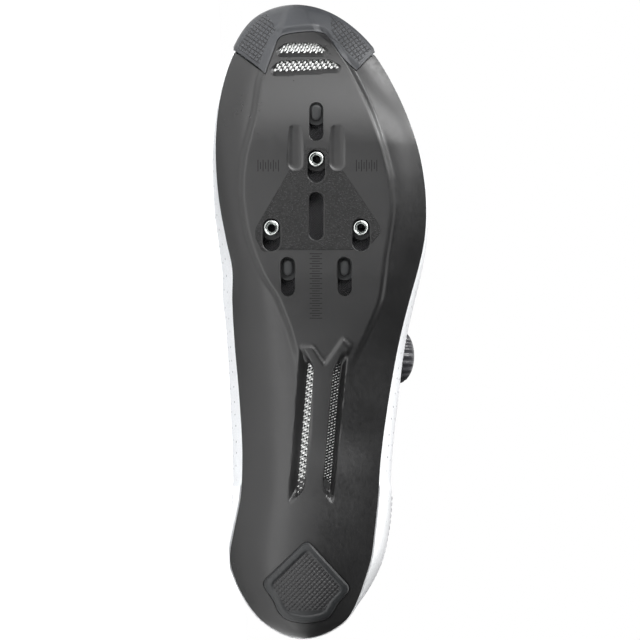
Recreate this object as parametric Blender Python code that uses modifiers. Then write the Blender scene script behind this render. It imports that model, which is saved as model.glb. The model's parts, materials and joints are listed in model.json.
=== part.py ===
"""Left road-cycling shoe, empty, lying on its inner side with its sole upright.

The shoe is worked out standing: x runs from the heel to the toe, y to the outer side, z up, with the
sole's flat spots on z = 0. At the end it is rolled over onto its inner side, where it comes to rest.
"""

import math
from functools import lru_cache

import bmesh
import bpy
import numpy as np
from mathutils import Matrix, Vector

# Driving sizes, in metres
LENGTH = 0.2945
BALL_WIDTH = 0.0975
SOLE_DEPTH = 0.020
TOE_SPRING = 0.019
INSTEP_HEIGHT = 0.098
CLEARANCE = 0.0003

# Sole plate
RIM_BAND = 0.0042
RIM_WIDTH = 0.0030
BED_DROP = 0.0015
PLATE = 0.0070
PLATEAU_STEP = 0.0020
PLATEAU_CHAMFER = 0.0032
SPRING_START = 0.78
ROUNDING = 2.3

# Cleat fixing: the three-bolt pattern and its slots
CLEAT_AXIS = 0.0011
BOLT_SPREAD = 0.0414
BOLT_REACH = 0.03175
REAR_BOLTS_AT = 0.6479 * LENGTH
BOLT_SLOT = (0.0151, 0.0080)
PLAIN_SLOT = (0.0180, 0.0065)
CENTRE_SLOT = (0.0222, 0.0065)
FRONT_SLOT_AT = REAR_BOLTS_AT + BOLT_REACH + 0.01745
CENTRE_SLOT_AT = REAR_BOLTS_AT + 0.0054
REAR_SLOTS_AT = REAR_BOLTS_AT - 0.0226
REAR_SLOT_SPREAD = 0.0262
DENT = (0.0225, 0.0070)
DENT_AT = REAR_BOLTS_AT + 0.0378
DENT_SPREAD = 0.0193
DENT_DEPTH = 0.0013
POCKET_FLOOR = 0.0049
POCKET_WIDTH = 0.0135
POCKET_END = 0.0032
NUT_BARREL_R = 0.0035
NUT_HOLE_R = 0.0020
NUT_FACE = 0.0008
NUT_FLANGE_R = 0.0056
NUT_FLANGE = 0.0014
NUT_CHAMFER = 0.0004
BLANK = (0.0072, 0.0045)
BLANK_FACE = 0.0028
BLANK_FLANGE = (0.0040, 0.0050)
BLANK_GAP = 0.0012

# Rubber pieces
BUMPER_THICK = 0.0024
PAD_THICK = 0.0036
SEAT = 0.0008
RUBBER_BEVEL = 0.0006
TOE_RADIUS = 0.050
SLOPE_STEP = 0.0004

# Soft pieces
WALL = 0.0020
COLLAR_PAD = 0.0055
OVERLAY = 0.0008
TONGUE_THICK = 0.0040
TONGUE_OVER = 0.0220
TONGUE_START = 0.485
TONGUE_TUCK = 0.85
TONGUE_END = 0.950
TONGUE_NOSE = 0.0065
COLLAR_END = 0.41
CROWN = 0.33
INSOLE_THICK = 0.0032

# Closure
LACE_R = 0.00065
LACE_DIP = 0.0022
POST_R = 0.0030
POST_CAP_R = 0.0046
POST_BASE_R = 0.0056
POST_GROOVE = 0.0024
POST_PLATE = 0.0008
POST_FILLET = 0.0004
POST_DEPTH = 0.0020
DIAL_R = 0.0140
DIAL_HEIGHT = 0.0080
DIAL_BASE_R = 0.0160
DIAL_BASE = 0.0030
DIAL_DEPTH = 0.0060
DIAL_BEVEL = 0.0012
DIAL_RIB_DEPTH = 0.045
DIAL_RIBS = 24

# Outline of the sole: distance from the heel as a share of LENGTH, sides as shares of BALL_WIDTH
OUTLINE = (
    # along, outer, inner
    (0.000, -0.052, -0.052),
    (0.012, 0.081, -0.176),
    (0.031, 0.157, -0.257),
    (0.062, 0.209, -0.328),
    (0.094, 0.243, -0.376),
    (0.125, 0.271, -0.400),
    (0.172, 0.290, -0.381),
    (0.220, 0.305, -0.352),
    (0.283, 0.319, -0.343),
    (0.377, 0.357, -0.357),
    (0.472, 0.409, -0.381),
    (0.535, 0.456, -0.390),
    (0.584, 0.497, -0.390),
    (0.629, 0.526, -0.418),
    (0.692, 0.533, -0.452),
    (0.755, 0.509, -0.467),
    (0.818, 0.452, -0.462),
    (0.881, 0.366, -0.429),
    (0.938, 0.255, -0.365),
    (0.976, 0.130, -0.287),
    (1.000, -0.088, -0.088),
)

# Heights of the sole: keel is its lowest line, edge its widest one, both as shares of SOLE_DEPTH
HEIGHTS = (
    # along, keel, outer edge, inner edge
    (0.000, 0.750, 0.750, 0.750),
    (0.012, 0.450, 0.700, 0.700),
    (0.031, 0.300, 0.650, 0.650),
    (0.062, 0.190, 0.600, 0.625),
    (0.110, 0.160, 0.575, 0.625),
    (0.172, 0.170, 0.600, 0.675),
    (0.250, 0.275, 0.675, 0.800),
    (0.330, 0.415, 0.750, 0.925),
    (0.410, 0.440, 0.750, 0.950),
    (0.480, 0.300, 0.675, 0.825),
    (0.540, 0.090, 0.550, 0.650),
    (0.580, 0.000, 0.500, 0.575),
    (0.650, 0.000, 0.450, 0.475),
    (0.780, 0.000, 0.425, 0.425),
    (0.900, 0.010, 0.425, 0.425),
    (0.960, 0.060, 0.425, 0.425),
    (0.985, 0.175, 0.425, 0.425),
    (1.000, 0.425, 0.425, 0.425),
)

# Raised cleat plateau: its sides as shares of BALL_WIDTH, and how much of it there is
PLATEAU = (
    # along, outer, inner, presence
    (0.000, 0.030, -0.140, 0.0),
    (0.200, 0.080, -0.120, 0.0),
    (0.420, 0.160, -0.060, 0.0),
    (0.480, 0.236, -0.095, 0.3),
    (0.510, 0.277, -0.128, 0.6),
    (0.540, 0.310, -0.166, 0.9),
    (0.570, 0.323, -0.224, 1.0),
    (0.600, 0.333, -0.267, 1.0),
    (0.640, 0.352, -0.308, 1.0),
    (0.680, 0.366, -0.334, 1.0),
    (0.720, 0.357, -0.335, 1.0),
    (0.755, 0.333, -0.324, 1.0),
    (0.795, 0.299, -0.295, 1.0),
    (0.830, 0.262, -0.269, 1.0),
    (0.880, 0.192, -0.247, 1.0),
    (0.910, 0.142, -0.218, 1.0),
    (0.940, 0.076, -0.187, 1.0),
    (0.960, 0.005, -0.150, 0.8),
    (1.000, -0.060, -0.110, 0.0),
)

# Ribs of the upper, from the sole's rim to the top line. Along and top_along are shares of LENGTH,
# sides and bellies of BALL_WIDTH, top of INSTEP_HEIGHT; rise and drop are shares of the rib's own
# height, and reach of its own plan length.
RIBS = (
    # along, top_along, outer, inner, top, outer_belly, inner_belly, rise, reach, drop
    (0.000, 0.022, -0.050, -0.050, 0.880, 0.010, 0.010, 0.40, 0.50, 0.30),
    (0.031, 0.031, 0.074, -0.160, 0.878, 0.005, 0.000, 0.40, 0.50, 0.30),
    (0.094, 0.075, 0.195, -0.280, 0.842, 0.070, 0.006, 0.40, 0.60, 0.30),
    (0.172, 0.150, 0.245, -0.325, 0.755, 0.100, 0.030, 0.40, 0.70, 0.30),
    (0.250, 0.235, 0.260, -0.303, 0.710, 0.095, 0.076, 0.40, 0.70, 0.30),
    (0.330, 0.315, 0.256, -0.287, 0.748, 0.095, 0.088, 0.38, 0.65, 0.30),
    (0.400, 0.378, 0.240, -0.272, 0.850, 0.095, 0.090, 0.36, 0.60, 0.30),
    (0.450, 0.420, 0.214, -0.252, 0.938, 0.090, 0.090, 0.34, 0.58, 0.28),
    (0.500, 0.455, 0.192, -0.240, 0.952, 0.088, 0.095, 0.32, 0.55, 0.26),
    (0.560, 0.497, 0.178, -0.232, 0.915, 0.084, 0.118, 0.30, 0.52, 0.26),
    (0.640, 0.548, 0.162, -0.218, 0.852, 0.066, 0.100, 0.28, 0.50, 0.28),
    (0.720, 0.597, 0.140, -0.200, 0.792, 0.052, 0.082, 0.28, 0.50, 0.30),
    (0.800, 0.641, 0.108, -0.174, 0.742, 0.042, 0.066, 0.32, 0.52, 0.32),
    (0.870, 0.671, 0.066, -0.138, 0.710, 0.044, 0.060, 0.38, 0.55, 0.32),
    (0.938, 0.690, 0.012, -0.094, 0.690, 0.045, 0.052, 0.46, 0.58, 0.31),
    (1.000, 0.697, -0.045, -0.045, 0.684, 0.048, 0.048, 0.50, 0.60, 0.30),
)

# Inner border of the toe bumper: shares of LENGTH and BALL_WIDTH, from the outer leg to the inner leg
BUMPER_INSIDE = (
    # turn, along, side
    (0.00, 0.897, 0.203),
    (0.16, 0.919, 0.134),
    (0.30, 0.944, 0.086),
    (0.40, 0.957, 0.050),
    (0.50, 0.960, -0.010),
    (0.62, 0.957, -0.110),
    (0.72, 0.950, -0.166),
    (0.84, 0.928, -0.193),
    (1.00, 0.892, -0.231),
)
BUMPER_LEGS = (0.926, 0.930)

# Corners of the heel pad: shares of LENGTH and BALL_WIDTH
HEEL_PAD = (
    (0.158, -0.033),
    (0.089, -0.250),
    (0.062, -0.190),
    (0.045, -0.172),
    (0.031, -0.132),
    (0.026, -0.033),
    (0.032, 0.064),
    (0.043, 0.090),
    (0.060, 0.117),
    (0.080, 0.180),
)
HEEL_PAD_MIDDLE = (0.082, -0.035)
HEEL_PAD_CORNER = 0.0035

# Toe vents, front then rear, in the same shares
TOE_VENTS = (
    ((0.941, -0.135), (0.927, -0.171), (0.927, 0.062), (0.941, 0.014)),
    ((0.912, -0.160), (0.896, -0.198), (0.900, 0.127), (0.914, 0.081)),
)
VENT_CORNER = 0.0018

# Shank vents: each trench's mouth and, in the same order, its floor, in the same shares
SHANK_VENTS = (
    (
        ((0.458, -0.069), (0.458, -0.045), (0.426, 0.000), (0.237, -0.045), (0.212, -0.124)),
        ((0.436, -0.027), (0.433, -0.014), (0.423, -0.001), (0.239, -0.047), (0.229, -0.079)),
    ),
    (
        ((0.451, 0.161), (0.451, 0.133), (0.421, 0.089), (0.236, 0.040), (0.212, 0.092)),
        ((0.437, 0.126), (0.434, 0.110), (0.421, 0.091), (0.239, 0.043), (0.231, 0.076)),
    ),
)
TRENCH_DEPTH = 0.0045

# Lip of the tongue above the collar, from its root: share of TONGUE_OVER and share of its width
TONGUE_LIP = (
    (0.30, 0.80),
    (0.65, 0.70),
    (1.00, 0.58),
)

# Places of the closure: shares of LENGTH at the rib's foot, and shares of the rib's own height
GUIDE_LIFT = 0.885
INNER_GUIDES = (0.520, 0.640, 0.780)
OUTER_GUIDES = (0.600, 0.720, 0.850)
DIAL_RIB = 0.470
DIAL_UP = 0.770

# Least share of its way inwards that the face has on which the shoe lies
INWARD_FACING = 0.9

# Grid sizes
STATIONS = 32
BED_COLS = 4
PLATEAU_COLS = 1
FLANK_COLS = 4
RIB_ROWS = (0, 0.12, 0.26, 0.42, 0.555, 0.565, 0.68, 0.785, 0.795, 0.9, 1.0)


def smooth(table, column, at):
    """A table's column read between its rows along a curve that never overshoots a row."""
    knots = np.array([row[0] for row in table], float)
    values = np.array([row[column] for row in table], float)
    return hermite(knots, values, at)


def hermite(knots, values, at):
    """Cubic pieces through the knots, with the harmonic mean of the two chords as each slope."""
    width = np.diff(knots)
    chord = np.diff(values) / width
    slope = np.zeros(len(knots))
    same_way = chord[:-1] * chord[1:] > 0
    both = 2 * chord[:-1] * chord[1:] / np.where(same_way, chord[:-1] + chord[1:], 1)
    slope[1:-1] = np.where(same_way, both, 0)
    slope[0], slope[-1] = chord[0], chord[-1]
    at = np.asarray(at, float)
    i = np.clip(np.searchsorted(knots, at, side="right") - 1, 0, len(width) - 1)
    u = np.clip((at - knots[i]) / width[i], 0, 1)
    rise = width[i] * ((u**3 - 2 * u**2 + u) * slope[i] + (u**3 - u**2) * slope[i + 1])
    return (1 + 2 * u**3 - 3 * u**2) * values[i] + (3 * u**2 - 2 * u**3) * values[i + 1] + rise


def turn_of(along):
    """Angle round the outline of a station: stations bunch up at both ends, which makes them round."""
    return np.arccos(np.clip(1 - 2 * np.asarray(along, float), -1, 1))


def along_of(turn):
    """Share of the length at an angle round the outline, 0 at the heel and pi at the toe."""
    return (1 - np.cos(turn)) / 2


@lru_cache
def loop_knots(table, outer, inner):
    """Angles, values and slopes of a pair of columns laid out three times round the outline."""
    turns = [float(turn_of(row[0])) for row in table]
    knots = turns + [2 * math.pi - t for t in reversed(turns[:-1])]
    values = [row[outer] for row in table] + [row[inner] for row in reversed(table[:-1])]
    before = [k - 2 * math.pi for k in knots[:-1]]
    after = [k + 2 * math.pi for k in knots[1:]]
    knots = np.array(before + knots + after)
    values = np.array(values[:-1] + values + values[1:])
    return knots, values, np.gradient(values, knots)


def round_the_loop(table, outer, inner, turn):
    """A pair of columns read round the whole outline: the outer side up to pi, then the inner side."""
    knots, values, slope = loop_knots(table, outer, inner)
    at = np.mod(turn, 2 * math.pi)
    i = np.clip(np.searchsorted(knots, at, side="right") - 1, 0, len(knots) - 2)
    width = knots[i + 1] - knots[i]
    u = (at - knots[i]) / width
    rise = width * ((u**3 - 2 * u**2 + u) * slope[i] + (u**3 - u**2) * slope[i + 1])
    return (1 + 2 * u**3 - 3 * u**2) * values[i] + (3 * u**2 - 2 * u**3) * values[i + 1] + rise


def toe_spring(along):
    """How far the toe lifts off the floor, beyond the flat of the ball."""
    past = np.clip((np.asarray(along) - SPRING_START) / (1 - SPRING_START), 0, 1)
    return TOE_SPRING * past**1.6


def outline(turn):
    """Plan of the sole's edge, as x and y."""
    return LENGTH * along_of(turn), BALL_WIDTH * round_the_loop(OUTLINE, 1, 2, turn)


def edge_height(turn):
    """Height of the sole's widest line round the outline."""
    return SOLE_DEPTH * round_the_loop(HEIGHTS, 2, 3, turn) + toe_spring(along_of(turn))


def keel_height(along):
    """Height of the sole's lowest line. It is exactly 0 under the ball."""
    knots, keels = np.array([row[:2] for row in HEIGHTS]).T
    keel = hermite(turn_of(knots), keels, turn_of(along))
    return SOLE_DEPTH * np.maximum(keel, 0) + toe_spring(along)


def section_sides(along):
    """For a station: y of the outer and inner edge, and of the plateau's outer and inner side."""
    turn = turn_of(along)
    outer = outline(turn)[1]
    inner = outline(2 * math.pi - turn)[1]
    share = np.asarray(along, float)
    raised_out = BALL_WIDTH * smooth(PLATEAU, 1, share)
    raised_in = BALL_WIDTH * smooth(PLATEAU, 2, share)
    room = outer - inner
    raised_out = np.minimum(raised_out, outer - 0.12 * room)
    raised_in = np.maximum(raised_in, inner + 0.12 * room)
    return outer, inner, raised_out, raised_in


def sole_bottom(x, y):
    """Height of the sole's underside at plan points: a flat plateau, its chamfer and rising flanks."""
    along = np.clip(np.asarray(x, float) / LENGTH, 0, 1)
    outer, inner, raised_out, raised_in = section_sides(along)
    keel_y = (raised_out + raised_in) / 2
    to_outer = y >= keel_y
    reach = np.where(to_outer, outer - keel_y, keel_y - inner)
    flat = np.where(to_outer, raised_out - keel_y, keel_y - raised_in)
    away = np.clip(np.abs(y - keel_y), 0, reach)
    reach = np.maximum(reach, 1e-6)
    turn = np.where(to_outer, turn_of(along), 2 * math.pi - turn_of(along))
    keel = keel_height(along)
    height = np.maximum(edge_height(turn) - keel, 0)
    presence = smooth(PLATEAU, 3, along)
    step = np.minimum(PLATEAU_STEP, 0.4 * height)
    chamfer = np.clip((away - flat) / PLATEAU_CHAMFER, 0, 1)
    flank = np.clip((away - flat) / np.maximum(reach - flat, 1e-6), 0, 1)
    raised = step * chamfer + (height - step) * flank**1.7
    round_hull = height * (away / reach) ** ROUNDING
    return keel + presence * raised + (1 - presence) * round_hull


def bed_height(x, y):
    """Height of the foot bed on top of the sole: dished between its borders."""
    along = np.clip(np.asarray(x, float) / LENGTH, 0, 1)
    outer, inner, _, _ = section_sides(along)
    middle = (outer + inner) / 2
    half = np.maximum((outer - inner) / 2, 1e-6)
    across = np.clip(np.abs(y - middle) / half, 0, 1)
    side = np.where(y >= middle, turn_of(along), 2 * math.pi - turn_of(along))
    border = edge_height(side) + RIM_BAND - BED_DROP
    lowest = np.minimum(keel_height(along) + PLATE, border)
    return lowest + (border - lowest) * across**3


def rim_offset(turn, inset):
    """The outline moved inwards by a distance, and the outward direction there."""
    step = 1e-3
    x0, y0 = outline(turn - step)
    x1, y1 = outline(turn + step)
    x, y = outline(turn)
    long = np.hypot(x1 - x0, y1 - y0)
    out_x, out_y = -(y0 - y1) / long, (x0 - x1) / long
    sign = np.where(out_x * (x - LENGTH / 2) + out_y * y >= 0, 1.0, -1.0)
    out_x, out_y = out_x * sign, out_y * sign
    return x - inset * out_x, y - inset * out_y, out_x, out_y


def rib(turn, up):
    """A point of the upper's outer face: a cubic Bezier from the rim to the top line."""
    turn, up = np.broadcast_arrays(np.asarray(turn, float), np.asarray(up, float))

    def read(outer, inner):
        return round_the_loop(RIBS, outer, inner, turn)

    foot_x, foot_y, out_x, out_y = rim_offset(turn, 0.0)
    foot_z = edge_height(turn) + RIM_BAND + CLEARANCE
    top_x, top_y = LENGTH * read(1, 1), BALL_WIDTH * read(2, 3)
    top_z = INSTEP_HEIGHT * read(4, 4)
    belly = BALL_WIDTH * read(5, 6)
    rise, reach, drop = read(7, 7), read(8, 8), read(9, 9)
    tall = top_z - foot_z
    low = (foot_x + belly * out_x, foot_y + belly * out_y, foot_z + rise * tall)
    high = (
        top_x + reach * (foot_x - top_x) + belly * out_x,
        top_y + reach * (foot_y - top_y) + belly * out_y,
        top_z - drop * tall,
    )
    weights = ((1 - up) ** 3, 3 * up * (1 - up) ** 2, 3 * up**2 * (1 - up), up**3)
    ends = ((foot_x, foot_y, foot_z), low, high, (top_x, top_y, top_z))
    return np.stack([sum(w * p[k] for w, p in zip(weights, ends)) for k in range(3)], axis=-1)


def unit(vectors):
    """Vectors made one long."""
    return vectors / np.maximum(np.linalg.norm(vectors, axis=-1, keepdims=True), 1e-12)


def rib_normal(turn, up):
    """Outward normal of the upper's outer face."""
    step = 2e-3
    up = np.clip(up, step, 1 - step)
    round_way = rib(turn + step, up) - rib(turn - step, up)
    up_way = rib(turn, up + step) - rib(turn, up - step)
    return unit(np.cross(up_way, round_way))


def overlay(turn, up):
    """Steps in the upper's wall: the heel counter and the eyestay stand proud of the quarters."""
    turn, up = np.broadcast_arrays(np.asarray(turn, float), np.asarray(up, float))
    from_heel = along_of(np.mod(turn, 2 * math.pi))
    counter = (from_heel < 0.24) & (up < 0.56)
    eyestay = (from_heel > 0.43) & (up > 0.79)
    return OVERLAY * (counter | eyestay)


def skin(turn, up, lift=0.0, dressed=1.0):
    """The upper's outer face with its overlays, moved outwards by lift."""
    height = dressed * overlay(turn, up) + lift
    return rib(turn, up) + rib_normal(turn, up) * height[..., None]


def crown(turn, across, lift=0.0):
    """The face that would close the opening between two facing ribs, from the outer one to the inner."""
    turn, across = np.broadcast_arrays(np.asarray(turn, float), np.asarray(across, float))
    start, end = rib(turn, 1.0), rib(-turn, 1.0)
    chord = end - start
    reach = CROWN * np.linalg.norm(chord, axis=-1)[..., None]
    low = start + reach * unit(unit(start - rib(turn, 0.98)) + unit(chord))
    high = end + reach * unit(unit(end - rib(-turn, 0.98)) - unit(chord))
    w = across[..., None]
    place = (1 - w) ** 3 * start + 3 * w * (1 - w) ** 2 * low + 3 * w**2 * (1 - w) * high + w**3 * end
    normal = unit((1 - w) * rib_normal(turn, 1.0) + w * rib_normal(-turn, 1.0) + np.array([0, 0, 0.3]))
    return place + lift * normal


def over(turn, across, lift=0.0, first=0.0, dressed=0.0):
    """A hoop over the shoe: the outer rib from height first at 0 to its top at 1, the crown to 2, and the
    inner rib down to height first at 3. Dressed with 1, the ribs have their overlays."""
    turn, across = np.broadcast_arrays(np.asarray(turn, float), np.asarray(across, float))
    sides = []
    for way, climb in ((turn, across), (-turn, 3 - across)):
        up = first + (1 - first) * np.clip(climb, 0, 1)
        sides.append(skin(way, up, lift, dressed))
    middle = crown(turn, np.clip(across - 1, 0, 1), lift + dressed * OVERLAY)
    choice = across[..., None]
    return np.where(choice <= 1, sides[0], np.where(choice >= 2, sides[1], middle))


class Skin:
    """Points and faces gathered for one mesh."""

    def __init__(self):
        self.points = []
        self.faces = []

    def add(self, points):
        start = len(self.points)
        self.points.extend(tuple(float(c) for c in p) for p in points)
        return list(range(start, len(self.points)))

    def band(self, lower, upper):
        """Faces between two closed loops with as many points."""
        for i in range(len(lower)):
            j = (i + 1) % len(lower)
            self.faces.append((lower[i], lower[j], upper[j], upper[i]))

    def grid(self, rows):
        """Faces between open rows with as many points."""
        for row, following in zip(rows, rows[1:]):
            for i in range(len(row) - 1):
                self.faces.append((row[i], row[i + 1], following[i + 1], following[i]))

    def bridge(self, loop, height, cuts):
        """Closes a loop from the inner to the outer side, station by station. Cuts gives the y of the
        points inside a station from its two ends, and height gives their z."""
        half = len(loop) // 2
        rows = []
        for j in range(1, half):
            inner, outer = self.points[loop[-j]], self.points[loop[j]]
            x, y = cuts(inner, outer)
            inside = self.add(np.stack([x, y, height(x, y)], axis=-1))
            rows.append([loop[-j], *inside, loop[j]])
        self.grid(rows)
        for tip, row in ((loop[0], rows[0]), (loop[half], rows[-1])):
            for i in range(len(row) - 1):
                self.faces.append((tip, row[i], row[i + 1]))

    def make(self, name, merge=1e-6):
        """The mesh object: coinciding points merged, flat triangles split one way, faces pointing out."""
        mesh = bpy.data.meshes.new(name)
        mesh.from_pydata(self.points, [], self.faces)
        work = bmesh.new()
        work.from_mesh(mesh)
        bmesh.ops.remove_doubles(work, verts=work.verts, dist=merge)
        bmesh.ops.dissolve_degenerate(work, edges=work.edges, dist=merge)
        bmesh.ops.triangulate(work, faces=work.faces, quad_method="FIXED")
        bmesh.ops.recalc_face_normals(work, faces=work.faces)
        work.to_mesh(mesh)
        work.free()
        return link(name, mesh)


def link(name, mesh):
    """An object for a mesh, in the shoe's collection."""
    thing = bpy.data.objects.new(name, mesh)
    SHOE.objects.link(thing)
    return thing


def loop_turns():
    """Angles of the outline's stations, an even number, the heel first and the toe half way."""
    return np.arange(2 * STATIONS) * math.pi / STATIONS


def section_cuts(inner, outer):
    """Points across a station of the underside, with one on each side of the plateau's chamfer."""
    x_ends = np.array([inner[0], outer[0]])
    along = x_ends.mean() / LENGTH
    _, _, raised_out, raised_in = section_sides(along)
    foot_in = max(raised_in - PLATEAU_CHAMFER, inner[1] + 0.25 * (raised_in - inner[1]))
    foot_out = min(raised_out + PLATEAU_CHAMFER, outer[1] - 0.25 * (outer[1] - raised_out))
    y = np.concatenate([
        np.linspace(inner[1], foot_in, FLANK_COLS + 1)[1:],
        np.linspace(raised_in, raised_out, PLATEAU_COLS + 1),
        np.linspace(foot_out, outer[1], FLANK_COLS + 1)[:-1],
    ])
    return np.interp(y, [inner[1], outer[1]], x_ends), y


def even_cuts(count):
    """Evenly spaced points across a station."""

    def cuts(inner, outer):
        share = np.linspace(0, 1, count + 2)[1:-1]
        return inner[0] + share * (outer[0] - inner[0]), inner[1] + share * (outer[1] - inner[1])

    return cuts


def ring(turns, inset, height):
    """Points of the outline moved inwards, at a height."""
    x, y, _, _ = rim_offset(turns, inset)
    return np.stack([x, y, height], axis=-1)


def rounded(corners, radius, steps=3):
    """A polygon with each corner turned into an arc."""
    out = []
    count = len(corners)
    for i in range(count):
        before, here, after = (Vector(corners[(i + k) % count]) for k in (-1, 0, 1))
        to_before, to_after = (before - here), (after - here)
        room = min(radius, 0.45 * to_before.length, 0.45 * to_after.length)
        start, end = here + to_before.normalized() * room, here + to_after.normalized() * room
        for k in range(steps + 1):
            t = k / steps
            out.append(tuple((1 - t) ** 2 * start + 2 * t * (1 - t) * here + t**2 * end))
    return out


def stadium(centre, length, width, steps=6):
    """A slot's outline, its length along x."""
    straight, radius = (length - width) / 2, width / 2
    out = []
    for end in (1, -1):
        for k in range(steps + 1):
            angle = math.pi * (k / steps - 0.5) + (0 if end > 0 else math.pi)
            x = centre[0] + end * straight + radius * math.cos(angle)
            out.append((x, centre[1] + radius * math.sin(angle)))
    return out


def prism(name, lower, upper, low, high):
    """A solid between two outlines with as many points."""
    body = Skin()
    base = body.add([(x, y, low) for x, y in lower])
    top = body.add([(x, y, high) for x, y in upper])
    body.band(base, top)
    body.faces.append(tuple(base))
    body.faces.append(tuple(top))
    return body.make(name)


def as_cutter(thing):
    """Marks a solid as a cutter and moves it to the cutters' collection."""
    SHOE.objects.unlink(thing)
    CUTTERS.objects.link(thing)
    thing.hide_render = True
    thing.display_type = "WIRE"
    return thing


def cut(thing, cutter):
    """Takes a cutter out of a solid."""
    modifier = thing.modifiers.new(cutter.name, "BOOLEAN")
    modifier.operation = "DIFFERENCE"
    modifier.solver = "EXACT"
    modifier.object = cutter


def in_shares(corners):
    """Corners given as shares of the length and the ball width, in metres."""
    return [(LENGTH * a, BALL_WIDTH * s) for a, s in corners]


def bolt_places():
    """Name, x and y of the three bolts."""
    half = BOLT_SPREAD / 2
    return (
        ("front", REAR_BOLTS_AT + BOLT_REACH, CLEAT_AXIS),
        ("inner", REAR_BOLTS_AT, CLEAT_AXIS - half),
        ("outer", REAR_BOLTS_AT, CLEAT_AXIS + half),
    )


def blank_places():
    """Name and slot centre of the three unused slots."""
    half = REAR_SLOT_SPREAD / 2
    return (
        ("front", FRONT_SLOT_AT, CLEAT_AXIS),
        ("inner", REAR_SLOTS_AT, CLEAT_AXIS - half),
        ("outer", REAR_SLOTS_AT, CLEAT_AXIS + half),
    )


def bolt_slot_centre(bolt_x):
    """A bolt's slot runs back from it, with the barrel at the slot's front end."""
    return bolt_x - BOLT_SLOT[0] / 2 + BOLT_SLOT[1] / 2 + CLEARANCE


def make_outsole():
    """The sole plate: underside, side band, rim and dished bed, with its slots, pockets and vents cut."""
    turns = loop_turns()
    edge_z = edge_height(turns)
    body = Skin()
    edge = body.add(ring(turns, 0.0, edge_z))
    rim_out = body.add(ring(turns, 0.0, edge_z + RIM_BAND))
    rim_in = body.add(ring(turns, RIM_WIDTH, edge_z + RIM_BAND))
    bed = body.add(ring(turns, RIM_WIDTH, edge_z + RIM_BAND - BED_DROP))
    for lower, upper in ((edge, rim_out), (rim_out, rim_in), (rim_in, bed)):
        body.band(lower, upper)
    body.bridge(edge, sole_bottom, section_cuts)
    body.bridge(bed, bed_height, even_cuts(BED_COLS))
    sole = body.make("outsole")
    under, above = -0.004, 0.05

    def slot(name, centre, size):
        plan = stadium(centre, *size)
        cut(sole, as_cutter(prism(f"cut_{name}", plan, plan, under, above)))

    def pocket(name, centre, length):
        plan = stadium(centre, length + 2 * POCKET_END, POCKET_WIDTH, steps=4)
        cut(sole, as_cutter(prism(f"cut_{name}_pocket", plan, plan, POCKET_FLOOR, above)))

    for name, x, y in bolt_places():
        centre = (bolt_slot_centre(x), y)
        slot(f"bolt_{name}", centre, BOLT_SLOT)
        pocket(f"bolt_{name}", centre, BOLT_SLOT[0])
    for name, x, y in blank_places():
        slot(f"blank_{name}", (x, y), PLAIN_SLOT)
        pocket(f"blank_{name}", (x, y), PLAIN_SLOT[0])
    slot("centre", (CENTRE_SLOT_AT, CLEAT_AXIS), CENTRE_SLOT)
    for side in (-1, 1):
        plan = stadium((DENT_AT, CLEAT_AXIS + side * DENT_SPREAD / 2), *DENT)
        cut(sole, as_cutter(prism(f"cut_dent_{side + 1}", plan, plan, under, DENT_DEPTH)))
    for i, corners in enumerate(TOE_VENTS):
        plan = rounded(in_shares(corners), VENT_CORNER)
        cut(sole, as_cutter(prism(f"cut_toe_vent_{i}", plan, plan, under, above)))
    for i, (mouth, floor) in enumerate(SHANK_VENTS):
        deep = SOLE_DEPTH * 0.44 + TRENCH_DEPTH
        through = in_shares(floor)
        cut(sole, as_cutter(prism(f"cut_trench_{i}", in_shares(mouth), through, 0.0, deep)))
        cut(sole, as_cutter(prism(f"cut_shank_vent_{i}", through, through, under, above)))
    cut(sole, as_cutter(bumper_body("cut_bumper_seat", 1.5 * CLEARANCE)))
    cut(sole, as_cutter(heel_pad_body("cut_pad_seat", 1.5 * CLEARANCE)))


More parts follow.
